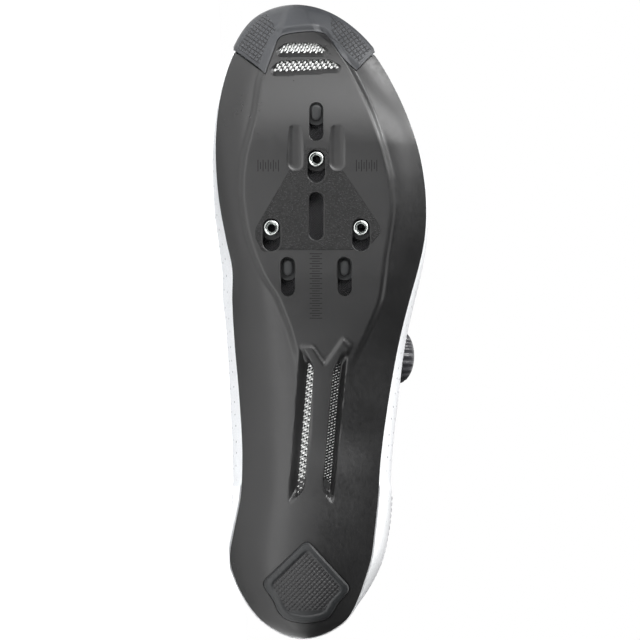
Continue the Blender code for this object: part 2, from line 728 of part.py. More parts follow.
def bumper_body(name, grow=0.0):
    """Horseshoe that wraps the toe from the rim down and under the sole's front, seated in the sole.

    Grown by a clearance, it is the cutter of its own seat."""
    outer_turn, inner_turn = turn_of(BUMPER_LEGS[0]), 2 * math.pi - turn_of(BUMPER_LEGS[1])
    spare = grow / TOE_RADIUS
    share = np.linspace(0, 1, 19)
    turns = outer_turn - spare + share * (inner_turn - outer_turn + 2 * spare)
    x, y, out_x, out_y = rim_offset(turns, 0.0)
    edge_z = edge_height(turns)
    inside = (LENGTH * smooth(BUMPER_INSIDE, 1, share), BALL_WIDTH * smooth(BUMPER_INSIDE, 2, share))
    ends = np.stack(inside, axis=-1)
    start = np.stack([x, y], axis=-1)
    ends = ends + grow * unit(ends - start)
    ends[0] += 1.5 * grow * unit(ends[0] - ends[1])
    ends[-1] += 1.5 * grow * unit(ends[-1] - ends[-2])
    top = edge_z + RIM_BAND + (-CLEARANCE if grow == 0 else 0.001)
    body = Skin()
    layers = []
    for lift in (-SEAT - grow, BUMPER_THICK - SEAT + grow):
        lines = [np.stack([x + lift * out_x, y + lift * out_y, z], axis=-1) for z in (top, edge_z)]
        for t in (0.06, 0.16, 0.30, 0.46, 0.64, 0.82, 1.0):
            px, py = x + t * (ends[:, 0] - x), y + t * (ends[:, 1] - y)
            step = SLOPE_STEP
            slope_x = (sole_bottom(px + step, py) - sole_bottom(px - step, py)) / (2 * step)
            slope_y = (sole_bottom(px, py + step) - sole_bottom(px, py - step)) / (2 * step)
            down = unit(np.stack([slope_x, slope_y, -np.ones(len(px))], axis=-1))
            down[:, :2] += (1 - t) ** 8 * np.stack([out_x, out_y], axis=-1)
            thin = lift if t < 1 or lift < 0 or grow else lift - RUBBER_BEVEL
            lines.append(np.stack([px, py, sole_bottom(px, py)], axis=-1) + thin * unit(down))
        layers.append([body.add(line) for line in lines])
    near, far = layers
    body.grid(near)
    body.grid(far)
    for row in (0, -1):
        body.grid([near[row], far[row]])
    for column in (0, -1):
        body.grid([[line[column] for line in near], [line[column] for line in far]])
    return body.make(name)


def heel_pad_body(name, grow=0.0):
    """Shield under the heel, seated in the sole and worn flat on the floor's plane.

    Grown by a clearance, it is the cutter of its own seat."""
    plan = rounded(in_shares(HEEL_PAD), HEEL_PAD_CORNER, steps=2)
    centre = np.array(in_shares([HEEL_PAD_MIDDLE])[0])
    away = np.array(plan) - centre
    away = away * (1 + grow / np.linalg.norm(away, axis=1))[:, None]
    body = Skin()
    layers = []
    for lift, floor in ((-SEAT - grow, -1.0), (PAD_THICK - SEAT + grow, -grow)):
        loops = []
        for share in (1.0, 0.92, 0.5):
            x, y = (centre + share * away).T
            bevel = RUBBER_BEVEL if grow == 0 and lift > 0 and share == 1 else 0.0
            z = np.maximum(sole_bottom(x, y) - lift, floor) + bevel
            loops.append(body.add(np.stack([x, y, z], axis=-1)))
        tip = (*centre, max(float(sole_bottom(*centre)) - lift, floor))
        layers.append((loops, body.add([tip])[0]))
    for loops, tip in layers:
        for wide, narrow in zip(loops, loops[1:]):
            body.band(wide, narrow)
        last = loops[-1]
        for i in range(len(last)):
            body.faces.append((last[i], last[(i + 1) % len(last)], tip))
    body.band(layers[0][0][0], layers[1][0][0])
    return body.make(name)


def turned(name, profile, steps):
    """A solid turned about z from its profile of radius and height, top to bottom on the outside."""
    mesh = bpy.data.meshes.new(name)
    count = len(profile)
    closed = profile[0][0] > 0 or profile[-1][0] > 0
    edges = [(i, (i + 1) % count) for i in range(count if closed else count - 1)]
    mesh.from_pydata([(r, 0, z) for r, z in profile], edges, [])
    thing = link(name, mesh)
    screw = thing.modifiers.new("turn", "SCREW")
    screw.steps = screw.render_steps = steps
    screw.use_merge_vertices = True
    screw.merge_threshold = 0.00001
    return thing


def make_nuts():
    """T-nuts: a round barrel in the slot's front end and a flange in the pocket above."""
    base = POCKET_FLOOR + CLEARANCE
    profile = [
        (NUT_HOLE_R, base + NUT_FLANGE),
        (NUT_FLANGE_R, base + NUT_FLANGE),
        (NUT_FLANGE_R, base),
        (NUT_BARREL_R, base),
        (NUT_BARREL_R, NUT_FACE + NUT_CHAMFER),
        (NUT_BARREL_R - NUT_CHAMFER, NUT_FACE),
        (NUT_HOLE_R + NUT_CHAMFER, NUT_FACE),
        (NUT_HOLE_R, NUT_FACE + NUT_CHAMFER),
    ]
    for name, x, y in bolt_places():
        nut = turned(f"cleat_nut_{name}", profile, 16)
        nut.location = (x, y, 0)


def make_blanks():
    """Dark blanks that close the unused slots from above."""
    for name, x, y in blank_places():
        centre = (x + PLAIN_SLOT[0] / 2 - BLANK[0] / 2 - BLANK_GAP, y)
        base = POCKET_FLOOR + CLEARANCE
        flange = (BLANK[0] + BLANK_FLANGE[0], BLANK[1] + BLANK_FLANGE[1])
        body = Skin()
        layers = [(BLANK, BLANK_FACE), (BLANK, base), (flange, base), (flange, base + NUT_FLANGE)]
        loops = [body.add([(*p, z) for p in stadium(centre, *size, steps=5)]) for size, z in layers]
        for lower, upper in zip(loops, loops[1:]):
            body.band(lower, upper)
        body.faces.extend([tuple(loops[0]), tuple(loops[-1])])
        body.make(f"slot_blank_{name}")


def make_upper():
    """The upper: the outer face with its overlays, given a wall that is padded towards the collar."""
    turns = loop_turns()
    body = Skin()
    rows = [body.add(skin(turns, up)) for up in RIB_ROWS]
    for lower, upper in zip(rows, rows[1:]):
        body.band(lower, upper)
    upper = body.make("upper")
    if upper.data.polygons[0].normal.dot(Vector((-1, 0, 0))) < 0:
        upper.data.flip_normals()
    pad = upper.vertex_groups.new(name="wall")
    for row, up in zip(rows, RIB_ROWS):
        for index, turn in zip(row, turns):
            at_collar = float(np.clip((COLLAR_END - along_of(turn)) / 0.1, 0, 1))
            height = float(np.clip((up - 0.45) / 0.3, 0, 1)) * (0.45 if up == 1.0 else 1.0)
            thick = WALL + (COLLAR_PAD - WALL) * at_collar * height
            pad.add([index], thick / COLLAR_PAD, "REPLACE")
    solid = upper.modifiers.new("wall", "SOLIDIFY")
    solid.thickness = COLLAR_PAD
    solid.offset = -1
    solid.vertex_group = "wall"
    return upper


def make_tongue():
    """The tongue: a sheet under the eyestays that bridges the throat and stands above it at the top."""
    lift = -(WALL + 3 * CLEARANCE)
    hoops = np.linspace(turn_of(TONGUE_START), turn_of(TONGUE_END), 11)
    across = np.concatenate([np.linspace(0, 1, 3), np.linspace(1, 2, 6)[1:-1], np.linspace(2, 3, 3)])
    lines = [over(turn, across, lift, TONGUE_TUCK) for turn in hoops]
    ahead = unit(rib(math.pi, TONGUE_TUCK) - rib(math.pi, 1.0))
    dip = 4 * CLEARANCE * rib_normal(math.pi, TONGUE_TUCK)
    lines.append(lines[-1] + TONGUE_NOSE * ahead - dip)
    first, middle = lines[0], lines[0][len(across) // 2]
    climb = unit(first.mean(axis=0) - lines[2].mean(axis=0))
    climb = unit(climb + np.array([0.15, 0.0, 0.35]))
    for share, narrow in TONGUE_LIP:
        width = (first - middle) * np.array([1, narrow, narrow])
        lines.insert(0, middle + width + climb * TONGUE_OVER * share)
    body = Skin()
    body.grid([body.add(line) for line in lines])
    tongue = body.make("tongue", merge=1e-5)
    if tongue.data.polygons[len(tongue.data.polygons) // 2].normal.z < 0:
        tongue.data.flip_normals()
    solid = tongue.modifiers.new("thickness", "SOLIDIFY")
    solid.thickness = TONGUE_THICK
    solid.offset = -1
    return tongue


def make_insole():
    """Thin foot bed lying on the sole's bed, inside the rim."""
    turns = loop_turns()
    border = edge_height(turns) + RIM_BAND - BED_DROP
    body = Skin()
    loops = []
    for lift in (2 * CLEARANCE, 2 * CLEARANCE + INSOLE_THICK):
        loops.append(body.add(ring(turns, RIM_WIDTH + CLEARANCE, border + lift)))
        body.bridge(loops[-1], lambda x, y, lift=lift: bed_height(x, y) + lift, even_cuts(BED_COLS))
    body.band(*loops)
    return body.make("insole")


def make_last_cutter():
    """The closed form of the upper, CLEARANCE proud, that pieces seated on the upper are cut with."""
    turns = np.arange(STATIONS + 1) * math.pi / STATIONS
    ups = np.array(RIB_ROWS)
    across = np.concatenate([ups, np.linspace(1, 2, 6)[1:-1], 3 - ups[::-1]])
    body = Skin()
    rows = [body.add(over(turn, across, CLEARANCE, dressed=1.0)) for turn in turns]
    body.grid(rows)
    body.faces.append(tuple([row[0] for row in rows] + [row[-1] for row in reversed(rows[1:-1])]))
    return as_cutter(body.make("cut_last", merge=1e-5))


def seat_matrix(turn, up, lift):
    """A frame on the upper: z along the outward normal, x towards the toe."""
    place = rib(turn, up) + rib_normal(turn, up) * lift
    normal = Vector(rib_normal(turn, up))
    ahead = Vector((1, 0, 0))
    ahead = (ahead - normal * ahead.dot(normal)).normalized()
    side = normal.cross(ahead)
    matrix = Matrix((ahead, side, normal)).transposed().to_4x4()
    matrix.translation = Vector(place)
    return matrix


def guide_places():
    """Name, turn and height up the rib of each lace guide, in the order the lace meets them."""
    places = []
    for i, (inner, outer) in enumerate(zip(INNER_GUIDES, OUTER_GUIDES)):
        places.append((f"lace_guide_inner_{i + 1}", 2 * math.pi - float(turn_of(inner)), GUIDE_LIFT))
        places.append((f"lace_guide_outer_{i + 1}", float(turn_of(outer)), GUIDE_LIFT))
    return places


def make_guides(last):
    """Turned guides: a base plate on the eyestay, a post with a groove for the lace, and a cap."""
    groove_low = POST_PLATE + POST_FILLET
    top = groove_low + POST_GROOVE
    profile = [
        (0.0, top + POST_PLATE),
        (POST_CAP_R - POST_FILLET, top + POST_PLATE),
        (POST_CAP_R, top + POST_PLATE - POST_FILLET),
        (POST_CAP_R, top),
        (POST_R, top),
        (POST_R, groove_low),
        (POST_BASE_R, POST_PLATE),
        (POST_BASE_R, -POST_DEPTH),
        (0.0, -POST_DEPTH),
    ]
    for name, turn, up in guide_places():
        guide = turned(name, profile, 13)
        guide.matrix_world = seat_matrix(turn, up, OVERLAY + CLEARANCE)
        cut(guide, last)


def lace_route():
    """The lace from the dial, round each guide's outboard side from heel to toe, to the last guide."""
    height = OVERLAY + CLEARANCE + POST_PLATE + POST_FILLET + POST_GROOVE / 2
    bend = POST_R + LACE_R + 1.3 * CLEARANCE
    dial = seat_matrix(float(turn_of(DIAL_RIB)), DIAL_UP, OVERLAY)
    points = [dial @ Vector((POST_R, -(DIAL_BASE_R + 2 * CLEARANCE), DIAL_BASE - 2 * CLEARANCE))]
    places = guide_places()
    for _, turn, up in places:
        frame = seat_matrix(turn, up, height)
        side = -1 if turn > math.pi else 1
        last = turn == places[-1][1]
        arc = []
        for degrees in np.linspace(-78, 26 if last else 78, 5 if last else 7):
            a = math.radians(degrees)
            arc.append(frame @ Vector((bend * math.sin(a), side * bend * math.cos(a), 0)))
        points.extend(taut(points[-1], arc[0], height))
        points.extend(arc)
    return points


def taut(start, end, height):
    """Points between two guides: straight seen from above, and as high as the guides' grooves need."""
    hoops = np.linspace(float(turn_of(0.43)), math.pi - 0.02, 120)
    cloud = over(hoops[:, None], np.linspace(0.6, 2.4, 121), height).reshape(-1, 3)
    points = []
    for t in np.linspace(0, 1, 10)[1:-1]:
        place = start.lerp(end, float(t))
        near = np.argsort(np.hypot(cloud[:, 0] - place.x, cloud[:, 1] - place.y))[:6]
        dip = LACE_DIP * float(np.clip((min(t, 1 - t) - 0.15) / 0.2, 0, 1))
        place.z = max(place.z, cloud[near, 2].mean() - dip)
        points.append(place)
    return points


def cord(name, points, radius):
    """A round cord through its points."""
    curve = bpy.data.curves.new(name, "CURVE")
    curve.dimensions = "3D"
    curve.bevel_depth = radius
    curve.bevel_resolution = 1
    curve.use_fill_caps = True
    spline = curve.splines.new("POLY")
    spline.points.add(len(points) - 1)
    for point, place in zip(spline.points, points):
        point.co = (*place, 1)
    return link(name, curve)


def make_dial(last):
    """Lace dial on the outer quarter: a base seated on the upper and a ribbed knob above it."""
    matrix = seat_matrix(float(turn_of(DIAL_RIB)), DIAL_UP, OVERLAY)
    base = turned(
        "dial_base",
        [
            (0.0, DIAL_BASE),
            (DIAL_BASE_R - DIAL_BEVEL, DIAL_BASE),
            (DIAL_BASE_R, DIAL_BASE - DIAL_BEVEL),
            (DIAL_BASE_R, -DIAL_DEPTH),
            (0.0, -DIAL_DEPTH),
        ],
        36,
    )
    base.matrix_world = matrix
    cut(base, last)
    body = Skin()
    low, high = DIAL_BASE + CLEARANCE, DIAL_BASE + DIAL_HEIGHT
    around = 2 * DIAL_RIBS
    layers = [(0.97, low), (1.0, low + DIAL_BEVEL), (0.94, high - DIAL_BEVEL), (0.88, high)]
    loops = []
    for share, z in layers:
        ring_points = []
        for k in range(around):
            angle = 2 * math.pi * k / around
            sunk = DIAL_RIB_DEPTH if k % 2 and share > 0.9 else 0.0
            radius = DIAL_R * share * (1 - sunk)
            ring_points.append((radius * math.cos(angle), radius * math.sin(angle), z))
        loops.append(body.add(ring_points))
    for lower, upper in zip(loops, loops[1:]):
        body.band(lower, upper)
    body.faces.extend([tuple(loops[0]), tuple(loops[-1])])
    knob = body.make("dial_knob")
    knob.matrix_world = matrix


FINISHES = {
    # name prefix: colour, roughness, metallic, kilograms in a litre
    "outsole": ((0.065, 0.066, 0.068), 0.42, 0.0, 1.15),
    "toe_bumper": ((0.060, 0.063, 0.068), 0.62, 0.0, 1.2),
    "heel_pad": ((0.045, 0.046, 0.048), 0.60, 0.0, 1.2),
    "cleat_nut": ((0.78, 0.80, 0.80), 0.22, 1.0, 7.8),
    "slot_blank": ((0.045, 0.046, 0.050), 0.55, 0.0, 1.1),
    "upper": ((0.86, 0.88, 0.90), 0.48, 0.0, 0.9),
    "tongue": ((0.80, 0.82, 0.84), 0.60, 0.0, 0.3),
    "insole": ((0.030, 0.030, 0.032), 0.85, 0.0, 0.3),
    "lace_guide": ((0.030, 0.030, 0.033), 0.45, 0.0, 1.1),
    "lace": ((0.055, 0.055, 0.060), 0.50, 0.0, 1.1),
    "dial_base": ((0.035, 0.035, 0.038), 0.45, 0.0, 1.1),
    "dial_knob": ((0.030, 0.031, 0.034), 0.38, 0.0, 1.1),
}


def finish_of(thing):
    """Colour, roughness, metallic and density of a piece, chosen by the longest matching name."""
    return FINISHES[max((key for key in FINISHES if thing.name.startswith(key)), key=len)]


def paint(thing):
    """Gives a piece its own finish."""
    colour, rough, metal, _ = finish_of(thing)
    material = bpy.data.materials.new(thing.name)
    material.use_nodes = True
    shader = material.node_tree.nodes["Principled BSDF"]
    shader.inputs["Base Color"].default_value = (*colour, 1)
    shader.inputs["Roughness"].default_value = rough
    shader.inputs["Metallic"].default_value = metal
    thing.data.materials.append(material)


def resting_face(things):
    """Normal and one point of the plane that the shoe comes to rest on when it is laid on its inner side.

    It is a face of the convex hull that faces inwards and that the shoe's weight stands over, and of
    those the one that brings the weight lowest."""
    graph = bpy.context.evaluated_depsgraph_get()
    hull = bmesh.new()
    middle, weight = Vector(), 0.0
    for thing in things:
        seen = thing.evaluated_get(graph)
        mesh = seen.to_mesh()
        mesh.calc_loop_triangles()
        places = [thing.matrix_world @ vertex.co for vertex in mesh.vertices]
        for triangle in mesh.loop_triangles:
            a, b, c = (places[i] for i in triangle.vertices)
            share = finish_of(thing)[3] * a.dot(b.cross(c))
            middle += (a + b + c) / 4 * share
            weight += share
        for place in places:
            hull.verts.new(place)
        seen.to_mesh_clear()
    middle /= weight
    bmesh.ops.convex_hull(hull, input=hull.verts)
    hull.normal_update()
    lowest, best = 1.0, None
    for face in hull.faces:
        normal, point = face.normal.copy(), face.verts[0].co.copy()
        height = normal.dot(point - middle)
        if height < 0:
            normal, height = -normal, -height
        foot = middle + normal * height
        corners = [vertex.co for vertex in face.verts]
        sides = [(b - a).cross(foot - a).dot(normal) for a, b in zip(corners, corners[1:] + corners[:1])]
        stands = max(sides) <= 0 or min(sides) >= 0
        if stands and normal.y < -INWARD_FACING and height < lowest:
            lowest, best = height, (normal, point)
    hull.free()
    return best


def lay_down(things):
    """Parents everything to one empty, turned so that the shoe lies on its inner side, toe towards -X."""
    normal, point = resting_face(things)
    up = -normal
    back = Vector((1, 0, 0))
    x_axis = -(back - up * back.dot(up)).normalized()
    y_axis = up.cross(x_axis)
    turn = Matrix((x_axis, y_axis, up)).to_4x4()
    graph = bpy.context.evaluated_depsgraph_get()
    low, high = Vector((1e9,) * 3), Vector((-1e9,) * 3)
    for thing in things:
        seen = thing.evaluated_get(graph)
        mesh = seen.to_mesh()
        for vertex in mesh.vertices:
            place = turn @ (thing.matrix_world @ vertex.co)
            low = Vector(map(min, low, place))
            high = Vector(map(max, high, place))
        seen.to_mesh_clear()
    shift = Matrix.Translation((-(low.x + high.x) / 2, -(low.y + high.y) / 2, -low.z))
    frame = bpy.data.objects.new("lying_shoe", None)
    SHOE.objects.link(frame)
    for thing in [*things, *CUTTERS.objects]:
        thing.parent = frame
    frame.matrix_world = shift @ turn


def main():
    """Builds every piece standing, then lays the shoe down."""
    make_outsole()
    bumper_body("toe_bumper")
    heel_pad_body("heel_pad")
    make_nuts()
    make_blanks()
    make_upper()
    make_tongue()
    make_insole()
    last = make_last_cutter()
    make_guides(last)
    cord("lace", lace_route(), LACE_R)
    make_dial(last)
    bpy.context.view_layer.update()
    pieces = [thing for thing in SHOE.objects if thing.type in ("MESH", "CURVE")]
    for piece in pieces:
        paint(piece)
    lay_down(pieces)


for old in list(bpy.data.objects):
    bpy.data.objects.remove(old)
SHOE = bpy.data.collections.new("cycling_shoe")
CUTTERS = bpy.data.collections.new("cutters")
bpy.context.scene.collection.children.link(SHOE)
bpy.context.scene.collection.children.link(CUTTERS)
main()
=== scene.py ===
"""Looks of a left road-cycling shoe that lies on its inner side with its sole upright.

Every surface is worked out standing, as the frame's solids are: x from the heel to the toe, y to the outer
side, z up from the sole's flat spots. One matrix, read from the frame's cleat face, lays it all down.
"""

import json
import logging
import math
from dataclasses import dataclass
from enum import Enum
from functools import lru_cache
from typing import Sequence

import bmesh
import bpy
import numpy as np
from mathutils import Matrix, Vector


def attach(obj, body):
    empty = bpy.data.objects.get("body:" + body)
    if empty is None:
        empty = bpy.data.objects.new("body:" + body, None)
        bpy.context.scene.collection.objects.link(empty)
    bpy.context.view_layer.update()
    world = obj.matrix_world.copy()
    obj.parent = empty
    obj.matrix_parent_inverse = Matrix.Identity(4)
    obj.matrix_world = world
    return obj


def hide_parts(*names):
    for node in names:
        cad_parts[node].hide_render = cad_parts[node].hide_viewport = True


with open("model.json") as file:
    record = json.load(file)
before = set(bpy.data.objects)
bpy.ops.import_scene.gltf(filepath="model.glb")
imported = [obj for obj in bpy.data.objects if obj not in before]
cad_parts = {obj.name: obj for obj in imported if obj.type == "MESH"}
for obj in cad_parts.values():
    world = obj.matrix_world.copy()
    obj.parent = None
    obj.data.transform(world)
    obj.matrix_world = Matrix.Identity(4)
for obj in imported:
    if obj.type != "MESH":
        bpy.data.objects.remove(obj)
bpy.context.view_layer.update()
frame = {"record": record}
LOG = logging.getLogger("shoe")

Table = tuple[tuple[float, ...], ...]
Colour = tuple[float, float, float]

# Driving sizes in metres, the same as the frame's
LENGTH = 0.2945
BALL_WIDTH = 0.0975
SOLE_DEPTH = 0.020
TOE_SPRING = 0.019
INSTEP_HEIGHT = 0.098
CLEARANCE = 0.0003
RIM_BAND = 0.0042
RIM_WIDTH = 0.0030
BED_DROP = 0.0015
PLATE = 0.0070
OVERLAY = 0.0008
WALL = 0.0020
SEAT = 0.0008
CLEAT_AXIS = 0.0011
REAR_BOLTS_AT = 0.1908
CLEAT_FACE = (0.2040, -0.0140, 0.0)
POCKET_FLOOR = 0.0049

# Shapes of the sole and of the upper's overlays
PLATEAU_STEP = 0.0024
PLATEAU_CHAMFER = (-0.0003, 0.0033)
FLANK_POWER = 1.7
KEEL_POWER = 2.3
SPRING_START = 0.78
SPRING_POWER = 1.6
COUNTER_END = 0.24
COUNTER_TOP = 0.56
COUNTER_FALL = 0.20
EYESTAY_FROM = 0.43
EYESTAY_FOOT = (0.78, 0.80)
CREASE_REACH = 0.17
CROWN_REACH = 0.33
TONGUE_FOOT = 0.85
HOLE_PITCH = 0.0062

# Outline of the sole: distance from the heel as a share of LENGTH, sides as shares of BALL_WIDTH
OUTLINE: Table = (
    # along, outer, inner
    (0.000, -0.052, -0.052),
    (0.012, 0.081, -0.176),
    (0.031, 0.157, -0.257),
    (0.062, 0.209, -0.328),
    (0.094, 0.243, -0.376),
    (0.125, 0.271, -0.400),
    (0.172, 0.290, -0.381),
    (0.220, 0.305, -0.352),
    (0.283, 0.319, -0.343),
    (0.377, 0.357, -0.357),
    (0.472, 0.409, -0.381),
    (0.535, 0.456, -0.390),
    (0.584, 0.497, -0.390),
    (0.629, 0.526, -0.418),
    (0.692, 0.533, -0.452),
    (0.755, 0.509, -0.467),
    (0.818, 0.452, -0.462),
    (0.881, 0.366, -0.429),
    (0.938, 0.255, -0.365),
    (0.976, 0.130, -0.287),
    (1.000, -0.088, -0.088),
)

# Heights of the sole: its lowest line and its widest one, as shares of SOLE_DEPTH
HEIGHTS: Table = (
    # along, keel, outer edge, inner edge
    (0.000, 0.750, 0.750, 0.750),
    (0.012, 0.450, 0.700, 0.700),
    (0.031, 0.300, 0.650, 0.650),
    (0.062, 0.190, 0.600, 0.625),
    (0.110, 0.160, 0.575, 0.625),
    (0.172, 0.170, 0.600, 0.675),
    (0.250, 0.275, 0.675, 0.800),
    (0.330, 0.415, 0.750, 0.925),
    (0.410, 0.440, 0.750, 0.950),
    (0.480, 0.300, 0.675, 0.825),
    (0.540, 0.090, 0.550, 0.650),
    (0.580, 0.000, 0.500, 0.575),
    (0.650, 0.000, 0.450, 0.475),
    (0.780, 0.000, 0.425, 0.425),
    (0.900, 0.010, 0.425, 0.425),
    (0.960, 0.060, 0.425, 0.425),
    (0.985, 0.175, 0.425, 0.425),
    (1.000, 0.425, 0.425, 0.425),
)

# Raised cleat plateau: its sides as shares of BALL_WIDTH, and how much of it there is
PLATEAU: Table = (
    # along, outer, inner, presence
    (0.000, 0.030, -0.140, 0.0),
    (0.200, 0.080, -0.120, 0.0),
    (0.420, 0.160, -0.060, 0.1),
    (0.480, 0.236, -0.095, 0.8),
    (0.510, 0.277, -0.128, 0.9),
    (0.540, 0.310, -0.166, 1.0),
    (0.570, 0.323, -0.224, 1.0),
    (0.600, 0.333, -0.267, 1.0),
    (0.640, 0.352, -0.308, 1.0),
    (0.680, 0.366, -0.334, 1.0),
    (0.720, 0.357, -0.335, 1.0),
    (0.755, 0.333, -0.324, 1.0),
    (0.795, 0.299, -0.295, 1.0),
    (0.830, 0.262, -0.269, 1.0),
    (0.880, 0.192, -0.247, 1.0),
    (0.910, 0.142, -0.218, 1.0),
    (0.940, 0.076, -0.187, 1.0),
    (0.960, 0.005, -0.150, 0.8),
    (1.000, -0.060, -0.110, 0.0),
)

# Ribs of the upper: shares of LENGTH, BALL_WIDTH and INSTEP_HEIGHT, then of each rib's height and reach
RIBS: Table = (
    # along, top_along, outer, inner, top, outer_belly, inner_belly, rise, reach, drop
    (0.000, 0.022, -0.050, -0.050, 0.880, 0.010, 0.010, 0.40, 0.50, 0.30),
    (0.031, 0.031, 0.074, -0.160, 0.878, 0.005, 0.000, 0.40, 0.50, 0.30),
    (0.094, 0.075, 0.195, -0.280, 0.842, 0.070, 0.006, 0.40, 0.60, 0.30),
    (0.172, 0.150, 0.245, -0.325, 0.755, 0.100, 0.030, 0.40, 0.70, 0.30),
    (0.250, 0.235, 0.260, -0.303, 0.710, 0.095, 0.076, 0.40, 0.70, 0.30),
    (0.330, 0.315, 0.256, -0.287, 0.748, 0.095, 0.088, 0.38, 0.65, 0.30),
    (0.400, 0.378, 0.240, -0.272, 0.850, 0.095, 0.090, 0.36, 0.60, 0.30),
    (0.450, 0.420, 0.214, -0.252, 0.938, 0.090, 0.090, 0.34, 0.58, 0.28),
    (0.500, 0.455, 0.192, -0.240, 0.952, 0.088, 0.095, 0.32, 0.55, 0.26),
    (0.560, 0.497, 0.178, -0.232, 0.915, 0.084, 0.118, 0.30, 0.52, 0.26),
    (0.640, 0.548, 0.162, -0.218, 0.852, 0.066, 0.100, 0.28, 0.50, 0.28),
    (0.720, 0.597, 0.140, -0.200, 0.792, 0.052, 0.082, 0.28, 0.50, 0.30),
    (0.800, 0.641, 0.108, -0.174, 0.742, 0.042, 0.066, 0.32, 0.52, 0.32),
    (0.870, 0.671, 0.066, -0.138, 0.710, 0.044, 0.060, 0.38, 0.55, 0.32),
    (0.938, 0.690, 0.012, -0.094, 0.690, 0.045, 0.052, 0.46, 0.58, 0.31),
    (1.000, 0.697, -0.045, -0.045, 0.684, 0.048, 0.048, 0.50, 0.60, 0.30),
)

# Creases of the upper, listed one by one: share from the heel, lean, height up the rib, depth, half width
CREASES: Table = (
    # along, lean, up, depth, width
    (0.655, 0.10, 0.62, 0.00050, 0.0030),
    (0.705, 0.14, 0.55, 0.00070, 0.0034),
    (0.752, 0.16, 0.50, 0.00055, 0.0030),
    (0.560, -0.08, 0.55, 0.00035, 0.0032),
    (0.300, -0.10, 0.66, 0.00040, 0.0030),
    (0.345, -0.12, 0.60, 0.00030, 0.0028),
)


def lying_frame() -> tuple[np.ndarray, np.ndarray]:
    """Rotation and shift from the standing shoe to the frame's lying one.

    The cleat face's axis is the standing shoe's down, and the toe points to -X and square to Y.

    Returns:
        A 3 by 3 rotation whose columns are toe, outer side and up, and the shift in metres.
    """
    mount = frame["record"]["mounts"][0]
    up = -np.array(mount["axis"])
    up /= np.linalg.norm(up)
    toe = np.cross((0.0, 1.0, 0.0), up)
    toe /= -np.sign(toe[0]) * np.linalg.norm(toe)
    turn = np.stack([toe, np.cross(up, toe), up], axis=1)
    return turn, np.array(mount["pos_m"]) - turn @ np.array(CLEAT_FACE)


TURN, SHIFT = lying_frame()


def laid(points: np.ndarray) -> np.ndarray:
    """Standing points in the lying frame: rotation times point, plus shift."""
    return points @ TURN.T + SHIFT


def unit(vectors: np.ndarray) -> np.ndarray:
    """Vectors made one long."""
    return vectors / np.maximum(np.linalg.norm(vectors, axis=-1, keepdims=True), 1e-12)


def run_along(points: np.ndarray) -> np.ndarray:
    """Length along a line of points, from 0 at its first one."""
    return np.concatenate([[0], np.cumsum(np.linalg.norm(np.diff(points, axis=0), axis=1))])


def soft_step(value: np.ndarray, low: float, high: float) -> np.ndarray:
    """0 below low, 1 above high and 3t^2 - 2t^3 between them."""
    t = np.clip((value - low) / (high - low), 0, 1)
    return t * t * (3 - 2 * t)


def cubic(width: np.ndarray, u: np.ndarray, a: np.ndarray, b: np.ndarray, sa: np.ndarray,
          sb: np.ndarray) -> np.ndarray:
    """Cubic piece from a to b over a width, with slopes sa and sb at its ends."""
    rise = width * ((u**3 - 2 * u**2 + u) * sa + (u**3 - u**2) * sb)
    return (1 + 2 * u**3 - 3 * u**2) * a + (3 * u**2 - 2 * u**3) * b + rise


def hermite(knots: np.ndarray, values: np.ndarray, at: np.ndarray) -> np.ndarray:
    """Cubic pieces through the knots, with the harmonic mean of the two chords as each slope."""
    width = np.diff(knots)
    chord = np.diff(values) / width
    slope = np.zeros(len(knots))
    same_way = chord[:-1] * chord[1:] > 0
    both = 2 * chord[:-1] * chord[1:] / np.where(same_way, chord[:-1] + chord[1:], 1)
    slope[1:-1] = np.where(same_way, both, 0)
    slope[0], slope[-1] = chord[0], chord[-1]
    at = np.asarray(at, float)
    i = np.clip(np.searchsorted(knots, at, side="right") - 1, 0, len(width) - 1)
    u = np.clip((at - knots[i]) / width[i], 0, 1)
    return cubic(width[i], u, values[i], values[i + 1], slope[i], slope[i + 1])


def read(table: Table, column: int, at: np.ndarray) -> np.ndarray:
    """A table's column between its rows."""
    rows = np.array(table)
    return hermite(rows[:, 0], rows[:, column], at)


def turn_of(along: np.ndarray | float) -> np.ndarray:
    """Angle round the outline of a share of the length: arccos(1 - 2 along)."""
    return np.arccos(np.clip(1 - 2 * np.asarray(along, float), -1, 1))


def along_of(turn: np.ndarray | float) -> np.ndarray:
    """Share of the length at an angle round the outline, 0 at the heel and 1 at the toe."""
    return (1 - np.cos(turn)) / 2


@lru_cache
def loop_knots(table: Table, outer: int, inner: int) -> tuple[np.ndarray, np.ndarray, np.ndarray]:
    """Angles, values and slopes of a pair of columns laid out three times round the outline."""
    turns = [float(turn_of(row[0])) for row in table]
    knots = turns + [2 * math.pi - t for t in reversed(turns[:-1])]
    values = [row[outer] for row in table] + [row[inner] for row in reversed(table[:-1])]
    before = [k - 2 * math.pi for k in knots[:-1]]
    after = [k + 2 * math.pi for k in knots[1:]]
    knots = np.array(before + knots + after)
    values = np.array(values[:-1] + values + values[1:])
    return knots, values, np.gradient(values, knots)


def round_the_loop(table: Table, outer: int, inner: int, turn: np.ndarray) -> np.ndarray:
    """A pair of columns round the whole outline: the outer side up to pi, then the inner side."""
    knots, values, slope = loop_knots(table, outer, inner)
    at = np.mod(turn, 2 * math.pi)
    i = np.clip(np.searchsorted(knots, at, side="right") - 1, 0, len(knots) - 2)
    width = knots[i + 1] - knots[i]
    return cubic(width, (at - knots[i]) / width, values[i], values[i + 1], slope[i], slope[i + 1])


